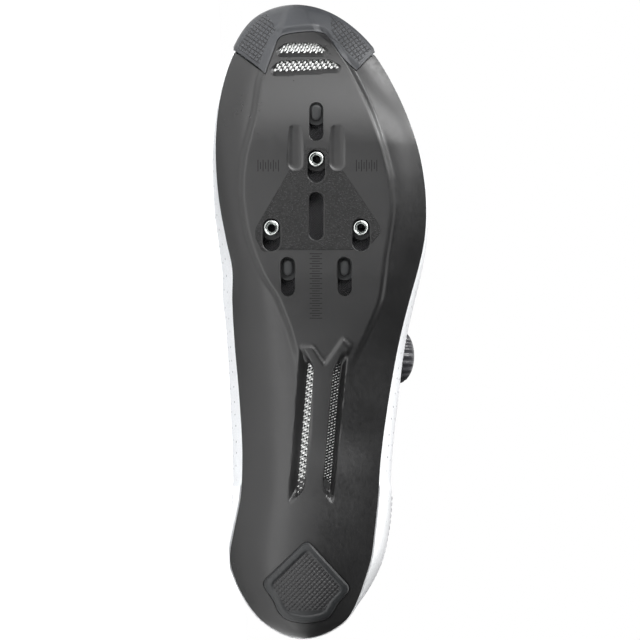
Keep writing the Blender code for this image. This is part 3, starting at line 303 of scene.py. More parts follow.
def toe_spring(along: np.ndarray) -> np.ndarray:
    """Lift of the toe beyond the flat of the ball: TOE_SPRING times (share past
    SPRING_START)^SPRING_POWER."""
    past = (np.asarray(along) - SPRING_START) / (1 - SPRING_START)
    return TOE_SPRING * np.clip(past, 0, 1) ** SPRING_POWER


def outline(turn: np.ndarray) -> tuple[np.ndarray, np.ndarray]:
    """Plan of the sole's edge, as x and y."""
    return LENGTH * along_of(turn), BALL_WIDTH * round_the_loop(OUTLINE, 1, 2, turn)


def edge_height(turn: np.ndarray) -> np.ndarray:
    """Height of the sole's widest line round the outline."""
    return SOLE_DEPTH * round_the_loop(HEIGHTS, 2, 3, turn) + toe_spring(along_of(turn))


def keel_height(along: np.ndarray) -> np.ndarray:
    """Height of the sole's lowest line, exactly 0 under the ball."""
    rows = np.array(HEIGHTS)
    keel = hermite(turn_of(rows[:, 0]), rows[:, 1], turn_of(along))
    return SOLE_DEPTH * np.maximum(keel, 0) + toe_spring(along)


def section_sides(along: np.ndarray) -> tuple[np.ndarray, np.ndarray, np.ndarray, np.ndarray]:
    """For a station: y of the outer and inner edge, and of the plateau's outer and inner side."""
    turn = turn_of(along)
    outer, inner = outline(turn)[1], outline(2 * math.pi - turn)[1]
    room = 0.12 * (outer - inner)
    raised_out = np.minimum(BALL_WIDTH * read(PLATEAU, 1, along), outer - room)
    raised_in = np.maximum(BALL_WIDTH * read(PLATEAU, 2, along), inner + room)
    return outer, inner, raised_out, raised_in


def sole_bottom(x: np.ndarray, y: np.ndarray) -> np.ndarray:
    """Height of the sole's underside: a flat plateau, a chamfered step and flanks that rise as a power."""
    along = np.clip(np.asarray(x, float) / LENGTH, 0, 1)
    outer, inner, raised_out, raised_in = section_sides(along)
    keel_y = (raised_out + raised_in) / 2
    to_outer = y >= keel_y
    reach = np.where(to_outer, outer - keel_y, keel_y - inner)
    flat = np.where(to_outer, raised_out - keel_y, keel_y - raised_in)
    away = np.clip(np.abs(y - keel_y), 0, reach)
    reach = np.maximum(reach, 1e-6)
    turn = np.where(to_outer, turn_of(along), 2 * math.pi - turn_of(along))
    keel = keel_height(along)
    height = np.maximum(edge_height(turn) - keel, 0)
    presence = read(PLATEAU, 3, along)
    step = np.minimum(PLATEAU_STEP, 0.4 * height)
    chamfer = soft_step(away - flat, *PLATEAU_CHAMFER)
    flank = np.clip((away - flat) / np.maximum(reach - flat, 1e-6), 0, 1)
    raised = step * chamfer + (height - step) * flank**FLANK_POWER
    return keel + presence * raised + (1 - presence) * height * (away / reach) ** KEEL_POWER


def bed_height(x: np.ndarray, y: np.ndarray) -> np.ndarray:
    """Height of the foot bed on top of the sole: dished as share^3 between its borders."""
    along = np.clip(np.asarray(x, float) / LENGTH, 0, 1)
    outer, inner, _, _ = section_sides(along)
    middle, half = (outer + inner) / 2, np.maximum((outer - inner) / 2, 1e-6)
    across = np.clip(np.abs(y - middle) / half, 0, 1)
    side = np.where(y >= middle, turn_of(along), 2 * math.pi - turn_of(along))
    border = edge_height(side) + RIM_BAND - BED_DROP
    lowest = np.minimum(keel_height(along) + PLATE, border)
    return lowest + (border - lowest) * across**3


def rim_offset(turn: np.ndarray, inset: float) -> tuple[np.ndarray, np.ndarray, np.ndarray, np.ndarray]:
    """The outline moved inwards by a distance, and the outward direction there."""
    step = 1e-3
    x0, y0 = outline(turn - step)
    x1, y1 = outline(turn + step)
    x, y = outline(turn)
    long = np.hypot(x1 - x0, y1 - y0)
    out_x, out_y = (y1 - y0) / long, (x0 - x1) / long
    sign = np.where(out_x * (x - LENGTH / 2) + out_y * y >= 0, 1.0, -1.0)
    out_x, out_y = out_x * sign, out_y * sign
    return x - inset * out_x, y - inset * out_y, out_x, out_y


def between_rims(turns: np.ndarray, inset: float, columns: int) -> np.ndarray:
    """Plan points from the inner side of the outline to the outer one, both moved inwards by inset."""
    ends = [np.stack(rim_offset(turn, inset)[:2], axis=-1) for turn in (2 * math.pi - turns, turns)]
    share = np.linspace(0, 1, columns)[None, :, None]
    return ends[0][:, None] * (1 - share) + ends[1][:, None] * share


def rib(turn: np.ndarray, up: np.ndarray) -> np.ndarray:
    """A point of the upper's outer face: a cubic Bezier from the rim to the top line."""
    turn, up = np.broadcast_arrays(np.asarray(turn, float), np.asarray(up, float))

    def part(outer: int, inner: int) -> np.ndarray:
        return round_the_loop(RIBS, outer, inner, turn)

    foot_x, foot_y, out_x, out_y = rim_offset(turn, 0.0)
    foot_z = edge_height(turn) + RIM_BAND + CLEARANCE
    top_x, top_y = LENGTH * part(1, 1), BALL_WIDTH * part(2, 3)
    top_z = INSTEP_HEIGHT * part(4, 4)
    belly = BALL_WIDTH * part(5, 6)
    rise, reach, drop = part(7, 7), part(8, 8), part(9, 9)
    tall = top_z - foot_z
    low = (foot_x + belly * out_x, foot_y + belly * out_y, foot_z + rise * tall)
    high = (
        top_x + reach * (foot_x - top_x) + belly * out_x,
        top_y + reach * (foot_y - top_y) + belly * out_y,
        top_z - drop * tall,
    )
    weights = ((1 - up) ** 3, 3 * up * (1 - up) ** 2, 3 * up**2 * (1 - up), up**3)
    ends = ((foot_x, foot_y, foot_z), low, high, (top_x, top_y, top_z))
    return np.stack([sum(w * p[k] for w, p in zip(weights, ends)) for k in range(3)], axis=-1)


def rib_normal(turn: np.ndarray, up: np.ndarray) -> np.ndarray:
    """Outward normal of the upper's outer face, from the cross product of small steps up and round it."""
    step = 2e-3
    up = np.clip(up, step, 1 - step)
    round_way = rib(turn + step, up) - rib(turn - step, up)
    up_way = rib(turn, up + step) - rib(turn, up - step)
    return unit(np.cross(up_way, round_way))


def from_heel(turn: np.ndarray) -> np.ndarray:
    """Share of the length at any angle round the outline."""
    return along_of(np.mod(turn, 2 * math.pi))


def overlay(turn: np.ndarray, up: np.ndarray) -> np.ndarray:
    """Height of the heel counter and the eyestay above the quarters, with soft edges about 1 mm wide."""
    turn, up = np.broadcast_arrays(np.asarray(turn, float), np.asarray(up, float))
    share = from_heel(turn)
    counter = COUNTER_TOP - COUNTER_FALL * np.clip(share / COUNTER_END, 0, 1) ** 4
    on_counter = soft_step(counter - up, -0.01, 0.01) * soft_step(COUNTER_END - share, -0.002, 0.002)
    on_eyestay = soft_step(up, *EYESTAY_FOOT) * soft_step(share, EYESTAY_FROM - 0.002, EYESTAY_FROM + 0.002)
    return OVERLAY * np.maximum(on_counter, on_eyestay)


def creases(turn: np.ndarray, up: np.ndarray) -> np.ndarray:
    """Depth of the listed creases: each one a bell across its line and a bell up the rib."""
    share = from_heel(turn)
    total = np.zeros(np.broadcast(turn, up).shape)
    for along, lean, height, depth, width in CREASES:
        away = (share - along - lean * (up - height)) * LENGTH / width
        total += depth * np.exp(-(away**2) - ((up - height) / CREASE_REACH) ** 2)
    return total


def skin(turn: np.ndarray, up: np.ndarray, lift: float | np.ndarray = 0.0,
         dressed: float = 1.0) -> np.ndarray:
    """The upper's outer face with its overlays and creases, moved outwards by lift."""
    height = dressed * (overlay(turn, up) - creases(turn, up)) + lift
    return rib(turn, up) + rib_normal(turn, up) * height[..., None]


def crown(turn: np.ndarray, across: np.ndarray, lift: float = 0.0) -> np.ndarray:
    """The face that would close the opening between two facing ribs: a Bezier from the outer to the inner."""
    turn, across = np.broadcast_arrays(np.asarray(turn, float), np.asarray(across, float))
    start, end = rib(turn, 1.0), rib(-turn, 1.0)
    chord = end - start
    reach = CROWN_REACH * np.linalg.norm(chord, axis=-1)[..., None]
    low = start + reach * unit(unit(start - rib(turn, 0.98)) + unit(chord))
    high = end + reach * unit(unit(end - rib(-turn, 0.98)) - unit(chord))
    w = across[..., None]
    place = (1 - w) ** 3 * start + 3 * w * (1 - w) ** 2 * low + 3 * w**2 * (1 - w) * high + w**3 * end
    normal = unit((1 - w) * rib_normal(turn, 1.0) + w * rib_normal(-turn, 1.0) + np.array([0, 0, 0.3]))
    return place + lift * normal


def hoop(turn: np.ndarray, across: np.ndarray, lift: float = 0.0, first: float = 0.0) -> np.ndarray:
    """A hoop over the shoe: the outer rib from height first at 0 to its top at 1, the crown to 2, and the
    inner rib down to height first at 3."""
    turn, across = np.broadcast_arrays(np.asarray(turn, float), np.asarray(across, float))
    sides = []
    for way, climb in ((turn, across), (-turn, 3 - across)):
        up = first + (1 - first) * np.clip(climb, 0, 1)
        sides.append(skin(way, up, lift, 0.0))
    middle = crown(turn, np.clip(across - 1, 0, 1), lift)
    choice = across[..., None]
    return np.where(choice <= 1, sides[0], np.where(choice >= 2, sides[1], middle))


def seat(turn: float, up: float, lift: float) -> tuple[np.ndarray, np.ndarray]:
    """A frame on the upper: a rotation whose columns run ahead, aside and outwards, and its place."""
    turn, up = np.array(turn), np.array(up)
    normal = rib_normal(turn, up)
    ahead = unit(np.array([1.0, 0.0, 0.0]) - normal * normal[0])
    place = rib(turn, up) + normal * lift
    return np.stack([ahead, np.cross(normal, ahead), normal], axis=-1), place


class Relief(Enum):
    """Patterns that a finish can have."""

    GRAIN = "fine moulded grain"
    SQUARES = "knurled squares"
    SCALES = "staggered scales"
    GRIT = "coarse sand"
    HIDE = "pebbled microfibre with scattered holes"
    WEAVE = "plain weave"
    BRAID = "slanted braid"
    TURNED = "fine turning marks"


class Nodes:
    """Short way to wire one material's nodes."""

    def __init__(self, name: str) -> None:
        """Starts a node material with a Principled shader."""
        self.material = bpy.data.materials.new(name)
        self.material.use_nodes = True
        self.tree = self.material.node_tree
        self.shader = self.tree.nodes["Principled BSDF"]

    def add(self, kind: str, fields: dict | None = None, **sockets: object) -> bpy.types.Node:
        """Adds a node.

        Args:
            kind: the node's type name, without ShaderNode.
            fields: the node's own settings.
            sockets: input name, with _ for a space, to a number, a colour or an output to link.

        Returns:
            The node.
        """
        node = self.tree.nodes.new("ShaderNode" + kind)
        for key, value in (fields or {}).items():
            setattr(node, key, value)
        for key, value in sockets.items():
            self.set(node, key.replace("_", " "), value)
        return node

    def set(self, node: bpy.types.Node, socket: str, value: object) -> None:
        """Puts a value or a link on an input."""
        by_number = socket[0] == "i" and socket[1:].isdigit()
        target = node.inputs[int(socket[1:]) if by_number else socket]
        if isinstance(value, bpy.types.NodeSocket):
            self.tree.links.new(value, target)
        else:
            target.default_value = value

    def math(self, operation: str, a: object, b: object = 0.0) -> bpy.types.NodeSocket:
        """A sum on two numbers or outputs."""
        return self.add("Math", {"operation": operation}, i0=a, i1=b).outputs[0]

    def span(self, value: object, low: float, high: float, to_low: float,
             to_high: float) -> bpy.types.NodeSocket:
        """A value carried from one range to another, held at its ends."""
        node = self.add("MapRange", None, Value=value, From_Min=low, From_Max=high, To_Min=to_low,
                        To_Max=to_high)
        return node.outputs["Result"]

    def noise(self, where: object, size: float, detail: float = 3.0) -> bpy.types.NodeSocket:
        """Noise with features of about a size in metres."""
        node = self.add("TexNoise", None, Vector=where, Scale=1 / size, Detail=detail)
        return node.outputs["Fac"]

    def cells(self, where: object, scale: float, scatter: float = 0.0, **fields: str) -> bpy.types.Node:
        """A flat cell pattern, its cells in rows where scatter is 0."""
        fields["voronoi_dimensions"] = "2D"
        return self.add("TexVoronoi", fields, Vector=where, Scale=scale, Randomness=scatter)

    def blend(self, share: object, a: object, b: object) -> bpy.types.NodeSocket:
        """A mix of two colours."""
        node = self.add("Mix", {"data_type": "RGBA"})
        self.set(node, "i0", share)
        self.set(node, "i6", a)
        self.set(node, "i7", b)
        return node.outputs[2]


@dataclass(frozen=True)
class Finish:
    """One surface finish: its colour, gloss and pattern, with its pattern's hollows darkened as painted
    shade.
    """

    name: str
    slot: str
    colour: Colour
    rough: float
    relief: Relief = Relief.GRAIN
    pitch: float = 0.0010
    depth: float = 0.00005
    # painted shade: share of the colour that is left in the pattern's hollows
    groove: float = 0.6
    blotch: float = 0.10
    metal: float = 0.0
    coat: float = 0.0
    sheen: float = 0.0
    # colour of the hollows in place of the groove share; for the pebbled hide it is partly the dark lining
    # seen through the holes and partly painted shade in them
    hollow_lining_and_shade_colour: Colour | None = None

    @lru_cache
    def material(self) -> bpy.types.Material:
        """The finish as a node material: colour, roughness and height each vary over the surface, and the
        colour darkens in the pattern's hollows as painted shade.
        """
        nodes = Nodes(self.name)
        own = nodes.add("TexCoord").outputs["Object"]
        surface = nodes.add("UVMap", {"uv_map": "surface"}).outputs["UV"]
        height = self.height(nodes, own, surface)
        cloud = nodes.noise(own, 0.035, 4)
        fine = nodes.noise(own, 0.0016, 3)
        light = tuple(min(1.0, c * (1 + self.blotch)) for c in self.colour) + (1,)
        dark = tuple(c * (1 - self.blotch) for c in self.colour) + (1,)
        tone = nodes.blend(nodes.span(cloud, 0.35, 0.65, 0, 1), dark, light)
        # painted shade: the base colour runs from the hollows' darker colour up to the tone as the pattern's
        # height rises
        if self.hollow_lining_and_shade_colour is not None:
            sunk = (*self.hollow_lining_and_shade_colour, 1)
        else:
            sunk = tuple(c * self.groove for c in self.colour) + (1,)
        nodes.set(nodes.shader, "Base Color", nodes.blend(height, sunk, tone))
        rough = nodes.math("ADD", nodes.span(fine, 0.3, 0.7, -0.05, 0.05),
                           nodes.span(cloud, 0.3, 0.7, -0.04, 0.04))
        nodes.set(nodes.shader, "Roughness", nodes.math("ADD", rough, self.rough))
        mottle = nodes.math("MULTIPLY", fine, 0.12)
        relief = nodes.math("ADD", height, mottle)
        bump = nodes.add("Bump", None, Height=relief, Distance=self.depth, Strength=1.0)
        nodes.set(nodes.shader, "Normal", bump.outputs["Normal"])
        for socket, value in (
            ("Metallic", self.metal),
            ("Coat Weight", self.coat),
            ("Coat Roughness", 0.25),
            ("Sheen Weight", self.sheen),
        ):
            nodes.set(nodes.shader, socket, value)
        return nodes.material

    def height(self, nodes: Nodes, own: object, surface: object) -> bpy.types.NodeSocket:
        """The pattern's height from 0 in its grooves to 1 on its tops.

        Args:
            nodes: the material's nodes.
            own: Object coordinates.
            surface: the piece's own UV map, in metres.

        Returns:
            The output that holds the height.
        """
        scale = 1 / self.pitch
        if self.relief is Relief.SQUARES:
            node = nodes.cells(surface, scale, distance="CHEBYCHEV")
            return nodes.span(node.outputs["Distance"], 0.34, 0.45, 1, 0)
        if self.relief is Relief.SCALES:
            turned = nodes.add("Mapping", None, Vector=surface, Rotation=(0, 0, math.pi / 4))
            node, lean = nodes.cells(turned.outputs[0], scale), nodes.cells(surface, scale)
            edge = nodes.span(node.outputs["Distance"], 0.30, 0.62, 1, 0)
            return nodes.math("ADD", edge, nodes.span(lean.outputs["Distance"], 0, 0.7, 0, 0.1))
        if self.relief is Relief.GRIT:
            node = nodes.add("TexVoronoi", {"feature": "SMOOTH_F1"}, Vector=own, Scale=scale)
            return nodes.span(node.outputs["Distance"], 0.05, 0.42, 1, 0)
        if self.relief is Relief.HIDE:
            pebble = nodes.add("TexVoronoi", None, Vector=own, Scale=scale)
            grain = nodes.span(pebble.outputs["Distance"], 0.1, 0.8, 1.0, 0.86)
            holes = nodes.cells(surface, 1 / HOLE_PITCH, 0.35)
            field = nodes.add("Attribute", {"attribute_name": "holes"}).outputs["Fac"]
            hole = nodes.math("MULTIPLY", nodes.span(holes.outputs["Distance"], 0.055, 0.085, 1, 0), field)
            return nodes.math("MULTIPLY", grain, nodes.math("SUBTRACT", 1.0, hole))
        if self.relief in (Relief.WEAVE, Relief.BRAID):
            lean = math.pi / 4 if self.relief is Relief.BRAID else 0.0
            turned = nodes.add("Mapping", None, Vector=surface, Rotation=(0, 0, lean))
            parts = nodes.add("SeparateXYZ", None, Vector=turned.outputs[0])
            waves = [
                nodes.math("SINE", nodes.math("MULTIPLY", parts.outputs[k], 2 * math.pi * scale)) for k in (0,
                                                                                                            1)
            ]
            return nodes.span(nodes.math("MULTIPLY", *waves), -0.8, 0.6, 0, 1)
        if self.relief is Relief.TURNED:
            return nodes.span(nodes.noise(own, self.pitch, 2), 0.3, 0.6, 0.4, 1)
        return nodes.span(nodes.noise(own, self.pitch, 2), 0.25, 0.55, 0.7, 1)


# Each finish darkens its pattern's hollows by its groove share, or to its hollow colour: painted shade.
SOLE = Finish("satin_sole", "sole_plate", (0.012, 0.012, 0.0123), 0.35, pitch=0.0007, depth=0.00002,
              blotch=0.12, groove=0.94, coat=0.08)
# painted shade: the scale marks are near-flush bars coloured at a quarter of the sole's tone, standing in for
# the shade in engraved lines
ENGRAVED_SHADE = Finish("engraved_marks_painted_shade", "sole_plate", (0.003, 0.003, 0.003), 0.95, pitch=0.0006, depth=0.00003)
# painted shade: the grit's hollows keep only 6% of its colour, so its grain tops read as light specks
GRIP = Finish("grip_sand", "sole_plate", (0.014, 0.014, 0.015), 0.75, Relief.GRIT, 0.00080, 0.00025, 0.06,
              0.35)
KNURL = Finish("knurled_rubber", "toe_rubber", (0.031, 0.033, 0.037), 0.46, Relief.SQUARES, 0.0019, 0.00035,
               0.30)
RUBBER = Finish("smooth_rubber", "toe_rubber", (0.029, 0.031, 0.035), 0.50, pitch=0.0008, depth=0.00003,
                groove=0.9)
SCALES = Finish("scaled_rubber", "heel_rubber", (0.010, 0.010, 0.011), 0.52, Relief.SCALES, 0.0017, 0.00022,
                0.50)
PAD = Finish("pad_rubber", "heel_rubber", (0.009, 0.010, 0.011), 0.50, pitch=0.0008, depth=0.00003,
             groove=0.9)
STEEL = Finish("plated_steel", "nut_steel", (0.46, 0.48, 0.47), 0.24, Relief.TURNED, 0.0009, 0.00001, 0.92,
               0.05, metal=1.0)
# painted shade: the nuts' flanges are the same steel, coloured near black for the shade deep in their pockets
FLANGE_SHADE = Finish("flange_painted_shade", "nut_steel", (0.020, 0.020, 0.021), 0.55, pitch=0.0005, depth=0.00002)
BLANK = Finish("blank_plastic", "blank_plastic", (0.010, 0.011, 0.012), 0.52, pitch=0.0006, depth=0.00002)
SILVER = Finish("silver_thread", "sole_plate", (0.80, 0.81, 0.80), 0.30, Relief.TURNED, 0.0004, 0.00003, 0.6,
                0.1, metal=0.25)
BLACK = Finish("black_thread", "sole_plate", (0.010, 0.010, 0.011), 0.60, Relief.TURNED, 0.0004, 0.00003)
# the holes and the grain's low spots are coloured dark grey: partly the dark lining behind the holes, partly
# painted shade
HIDE = Finish("white_microfibre", "upper_shell", (0.80, 0.812, 0.828), 0.42, Relief.HIDE, 0.00075, 0.00010,
              blotch=0.015, coat=0.08, hollow_lining_and_shade_colour=(0.10, 0.105, 0.11))
SATIN = Finish("white_overlay", "upper_shell", (0.82, 0.832, 0.846), 0.34, pitch=0.0009, depth=0.00003,
               groove=0.96, blotch=0.012, coat=0.15)
LINING = Finish("lining_mesh", "upper_shell", (0.050, 0.051, 0.054), 0.85, Relief.WEAVE, 0.0015, 0.00020,
                0.35, sheen=0.25)
GRIPPER = Finish("heel_lining", "upper_shell", (0.13, 0.132, 0.138), 0.90, Relief.BRAID, 0.0016, 0.00018,
                 0.55, sheen=0.4)
BINDING = Finish("binding_tape", "upper_shell", (0.62, 0.63, 0.65), 0.62, Relief.WEAVE, 0.0008, 0.00012, 0.7,
                 sheen=0.2)
THREAD = Finish("white_thread", "upper_shell", (0.74, 0.75, 0.77), 0.55, Relief.BRAID, 0.0005, 0.00008, 0.75)
TONGUE = Finish("tongue_mesh", "tongue_cloth", (0.76, 0.78, 0.80), 0.66, Relief.WEAVE, 0.0017, 0.00025, 0.55,
                blotch=0.03, sheen=0.2)
INSOLE = Finish("insole_cloth", "insole_cloth", (0.036, 0.036, 0.039), 0.88, Relief.WEAVE, 0.0012, 0.00016,
                0.5, sheen=0.3)
GUIDE = Finish("guide_plastic", "guide_plastic", (0.034, 0.034, 0.037), 0.36, pitch=0.0006, depth=0.00002,
               coat=0.1)
CORD = Finish("coated_lace", "lace_cord", (0.10, 0.10, 0.108), 0.42, Relief.BRAID, 0.0011, 0.00010, 0.35,
              coat=0.1)
DIAL = Finish("dial_plastic", "dial_plastic", (0.036, 0.036, 0.040), 0.34, pitch=0.0006, depth=0.00002,
              coat=0.15)


class Patchwork:
    """Grids of points gathered into one mesh, with UVs in metres and a finish for each face."""

    def __init__(self, *finishes: Finish) -> None:
        """Starts empty; the finishes are the mesh's material slots in order."""
        self.finishes = finishes
        self.points: list[np.ndarray] = []
        self.faces: list[np.ndarray] = []
        self.uvs: list[np.ndarray] = []
        self.slots: list[np.ndarray] = []
        self.caps: list[list[int]] = []
        self.count = 0

    def grid(self, points: np.ndarray, uv: np.ndarray | None = None,
             slot: int | np.ndarray = 0) -> np.ndarray:
        """Adds a grid of points.

        Args:
            points: array of rows by columns by 3, standing, in metres.
            uv: array of rows by columns by 2; without it, the plan's x and y.
            slot: the finish of every face, or an array of one less row and column.

        Returns:
            The points' numbers as rows by columns.
        """
        rows, columns = points.shape[:2]
        index = self.count + np.arange(rows * columns).reshape(rows, columns)
        quads = np.stack([index[:-1, :-1], index[:-1, 1:], index[1:, 1:], index[1:, :-1]], axis=-1)
        self.points.append(points.reshape(-1, 3))
        self.faces.append(quads.reshape(-1, 4))
        self.uvs.append((points[..., :2] if uv is None else uv).reshape(-1, 2))
        self.slots.append(np.broadcast_to(slot, (rows - 1, columns - 1)).reshape(-1))
        self.count += rows * columns
        return index

    def cap(self, numbers: np.ndarray) -> None:
        """Closes a loop of points with one face."""
        self.caps.append([int(n) for n in numbers])

    def stack(self, rows: Sequence[np.ndarray]) -> None:
        """Adds a closed solid through loops in space, all with as many points."""
        index = self.grid(np.stack([np.concatenate([row, row[:1]]) for row in rows]))
        self.cap(index[0, :-1])
        self.cap(index[-1, :-1])

    def hem(self, one: np.ndarray, other: np.ndarray) -> None:
        """Joins two grids of points along their four borders."""
        for a, b in ((one[0], other[0]), (one[-1], other[-1]), (one[:, 0], other[:, 0]),
                     (one[:, -1], other[:, -1])):
            self.grid(np.stack([a, b]))

    def make(self, name: str, sharp: float = 40.0, closed: bool = True,
             merge: float = 1e-6) -> bpy.types.Object:
        """The laid-down object, its doubles merged, its faces pointing out and its sharp edges marked.

        Args:
            name: the piece's name.
            sharp: angle in degrees above which an edge stays sharp.
            closed: whether the faces enclose a volume, and so can be turned outwards.
            merge: distance in metres under which points become one.

        Returns:
            The object, at the origin.
        """
        mesh = bpy.data.meshes.new(name)
        faces = np.concatenate(self.faces)
        mesh.from_pydata(laid(np.concatenate(self.points)).tolist(), [], faces.tolist() + self.caps)
        corners = np.empty(len(mesh.loops), dtype=np.int32)
        mesh.loops.foreach_get("vertex_index", corners)
        layer = mesh.uv_layers.new(name="surface")
        layer.data.foreach_set("uv", np.concatenate(self.uvs)[corners].astype(np.float32).reshape(-1))
        slots = np.concatenate([*self.slots, np.zeros(len(self.caps), int)]).astype(np.int32)
        mesh.polygons.foreach_set("material_index", slots)
        for finish in self.finishes:
            mesh.materials.append(finish.material())
        work = bmesh.new()
        work.from_mesh(mesh)
        bmesh.ops.remove_doubles(work, verts=work.verts, dist=merge)
        bmesh.ops.dissolve_degenerate(work, edges=work.edges, dist=merge)
        if closed:
            bmesh.ops.recalc_face_normals(work, faces=work.faces)
        work.to_mesh(mesh)
        work.free()
        mesh.shade_smooth()
        mesh.set_sharp_from_angle(angle=math.radians(sharp))
        return placed(name, mesh)


def placed(name: str, data: bpy.types.ID) -> bpy.types.Object:
    """A new object in the scene, at the origin."""
    thing = bpy.data.objects.new(name, data)
    bpy.context.scene.collection.objects.link(thing)
    return thing


def applied(thing: bpy.types.Object, sharp: float = 40.0) -> bpy.types.Object:
    """The object with its modifiers made part of its mesh, and its sharp edges marked again."""
    graph = bpy.context.evaluated_depsgraph_get()
    mesh = bpy.data.meshes.new_from_object(thing.evaluated_get(graph))
    thing.modifiers.clear()
    thing.data = mesh
    mesh.shade_smooth()
    mesh.set_sharp_from_angle(angle=math.radians(sharp))
    return thing


def dressed(thing: bpy.types.Object, slot: str, *nodes: str) -> bpy.types.Object:
    """Rides a piece on the shoe, hides the CAD nodes that it stands for and logs them with its triangle
    count.
    """
    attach(thing, "root")
    if nodes:
        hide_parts(*nodes)
    triangles = sum(len(face.vertices) - 2 for face in thing.data.polygons)
    LOG.info("%s: %d triangles, for %s", thing.name, triangles, ", ".join(nodes) or "itself")
    return thing


def turned(work: Patchwork, profile: Sequence[tuple[float, float]], around: int, place: tuple,
           slot: int | np.ndarray = 0) -> None:
    """Adds a solid turned about z: radius and height along the profile, carried round in steps.

    Args:
        work: the mesh to add to.
        profile: radius and height pairs in metres.
        around: number of steps round.
        place: rotation and shift of the turned frame.
        slot: the finish, or one for each step of the profile.
    """
    radius, height = np.array(profile).T
    angle = np.linspace(0, 2 * math.pi, around + 1)[:, None]
    flat = np.stack([radius * np.cos(angle), radius * np.sin(angle),
                     np.broadcast_to(height, (around + 1, len(height)))])
    length = np.concatenate([[0], np.cumsum(np.hypot(np.diff(radius), np.diff(height)))])
    uv = np.stack(np.broadcast_arrays(angle * radius.max(), length[None, :]), axis=-1)
    work.grid(np.moveaxis(flat, 0, -1) @ place[0].T + place[1], uv, slot)


def smooth_line(points: np.ndarray, count: int) -> np.ndarray:
    """A chordal cubic curve through points, read at a number of even steps of its length."""
    gap = run_along(points)
    slope = np.gradient(points, gap, axis=0)
    at = np.linspace(0, gap[-1], count)
    i = np.clip(np.searchsorted(gap, at, side="right") - 1, 0, len(gap) - 2)
    width = (gap[i + 1] - gap[i])[:, None]
    u = ((at - gap[i]) / (gap[i + 1] - gap[i]))[:, None]
    return cubic(width, u, points[i], points[i + 1], slope[i], slope[i + 1])


def tube(work: Patchwork, path: np.ndarray, radius: float | np.ndarray, out: np.ndarray, around: int = 10,
         closed: bool = False, flat: float = 1.0, slot: int = 0) -> None:
    """Adds a tube: circles of the radius round each point of the path, in its plane across the path.

    Args:
        work: the mesh to add to.
        path: points of the centreline.
        radius: one radius or one for each point.
        out: a direction for each point that isn't along the path.
        around: number of steps round.
        closed: whether the path is a loop.
        flat: height of the section over its width.
        slot: the finish.
    """
    if closed:
        along = unit(np.roll(path, -1, axis=0) - np.roll(path, 1, axis=0))
    else:
        along = unit(np.gradient(path, axis=0))
    side = unit(np.cross(along, out))
    up = np.cross(side, along)
    radius = np.broadcast_to(np.asarray(radius, float), len(path))
    if closed:
        path, side, up, radius = (np.concatenate([a, a[:1]]) for a in (path, side, up, radius))
    angle = np.linspace(0, 2 * math.pi, around + 1)
    swing = side[:, None] * np.cos(angle)[None, :, None] + flat * up[:, None] * np.sin(angle)[None, :, None]
    points = path[:, None] + radius[:, None, None] * swing
    gap = run_along(path)
    uv = np.stack(np.broadcast_arrays(gap[:, None], angle[None, :] * radius.max()), axis=-1)
    if not closed:
        points = np.concatenate([path[:1, None].repeat(around + 1, 1), points,
                                 path[-1:, None].repeat(around + 1, 1)])
        uv = np.concatenate([uv[:1], uv, uv[-1:]])
    work.grid(points, uv, slot)


def stadium(x: float, y: float, length: float, width: float, grow: float = 0.0,
            steps: int = 12) -> np.ndarray:
    """A slot's outline, its length along x: two half circles joined by straight sides."""
    straight, radius = (length - width) / 2, width / 2 + grow
    angle = np.linspace(-math.pi / 2, math.pi / 2, steps + 1)
    front = np.stack([x + straight + radius * np.cos(angle), y + radius * np.sin(angle)], axis=-1)
    back = np.stack([x - straight - radius * np.cos(angle), y - radius * np.sin(angle)], axis=-1)
    return np.concatenate([front, back])


def rounded(corners: Sequence[tuple[float, float]], radius: float, steps: int = 6) -> np.ndarray:
    """A polygon with each corner turned into a parabola between points a radius from it."""
    here = np.array(corners)
    arcs = []
    for other in (np.roll(here, 1, axis=0), np.roll(here, -1, axis=0)):
        gap = np.linalg.norm(other - here, axis=1, keepdims=True)
        arcs.append(here + (other - here) / gap * np.minimum(radius, 0.45 * gap))
    t = np.linspace(0, 1, steps + 1)[None, :, None]
    start, end = arcs
    return ((1 - t) ** 2 * start[:, None] + 2 * t * (1 - t) * here[:, None] + t**2 * end[:, None]).reshape(-1,
                                                                                                           2)


def in_shares(corners: Sequence[tuple[float, float]]) -> np.ndarray:
    """Corners given as shares of the length and the ball width, in metres."""
    return np.array(corners) * (LENGTH, BALL_WIDTH)


def widened(plan: np.ndarray, grow: float) -> np.ndarray:
    """A plan loop moved outwards along its own normals."""
    ahead = np.roll(plan, -1, axis=0) - np.roll(plan, 1, axis=0)
    normal = unit(np.stack([ahead[:, 1], -ahead[:, 0]], axis=-1))
    area = np.sum(plan[:, 0] * np.roll(plan[:, 1], -1) - np.roll(plan[:, 0], -1) * plan[:, 1])
    return plan + (grow if area > 0 else -grow) * normal


def level(plan: np.ndarray, height: float | np.ndarray) -> np.ndarray:
    """A plan loop at a height, or at one height for each point."""
    return np.concatenate([plan, np.broadcast_to(np.asarray(height, float), len(plan))[:, None]], axis=1)


def under_sole(plan: np.ndarray, depth: float | np.ndarray) -> np.ndarray:
    """A plan loop that follows the sole's underside at a depth inside it."""
    return level(plan, sole_bottom(plan[:, 0], plan[:, 1]) + depth)


def depth_inside(plan: np.ndarray, x: np.ndarray, y: np.ndarray) -> np.ndarray:
    """Distance of plan points from a closed loop, positive inside it and negative outside."""
    nearest, inside = np.full(x.shape, np.inf), np.zeros(x.shape, bool)
    for (ax, ay), (bx, by) in zip(plan, np.roll(plan, -1, axis=0)):
        ex, ey = bx - ax, by - ay
        share = np.clip(((x - ax) * ex + (y - ay) * ey) / max(ex * ex + ey * ey, 1e-18), 0, 1)
        nearest = np.minimum(nearest, np.hypot(x - ax - share * ex, y - ay - share * ey))
        if ey != 0:
            inside ^= ((ay > y) != (by > y)) & (x < ax + (y - ay) * ex / ey)
    return np.where(inside, nearest, -nearest)


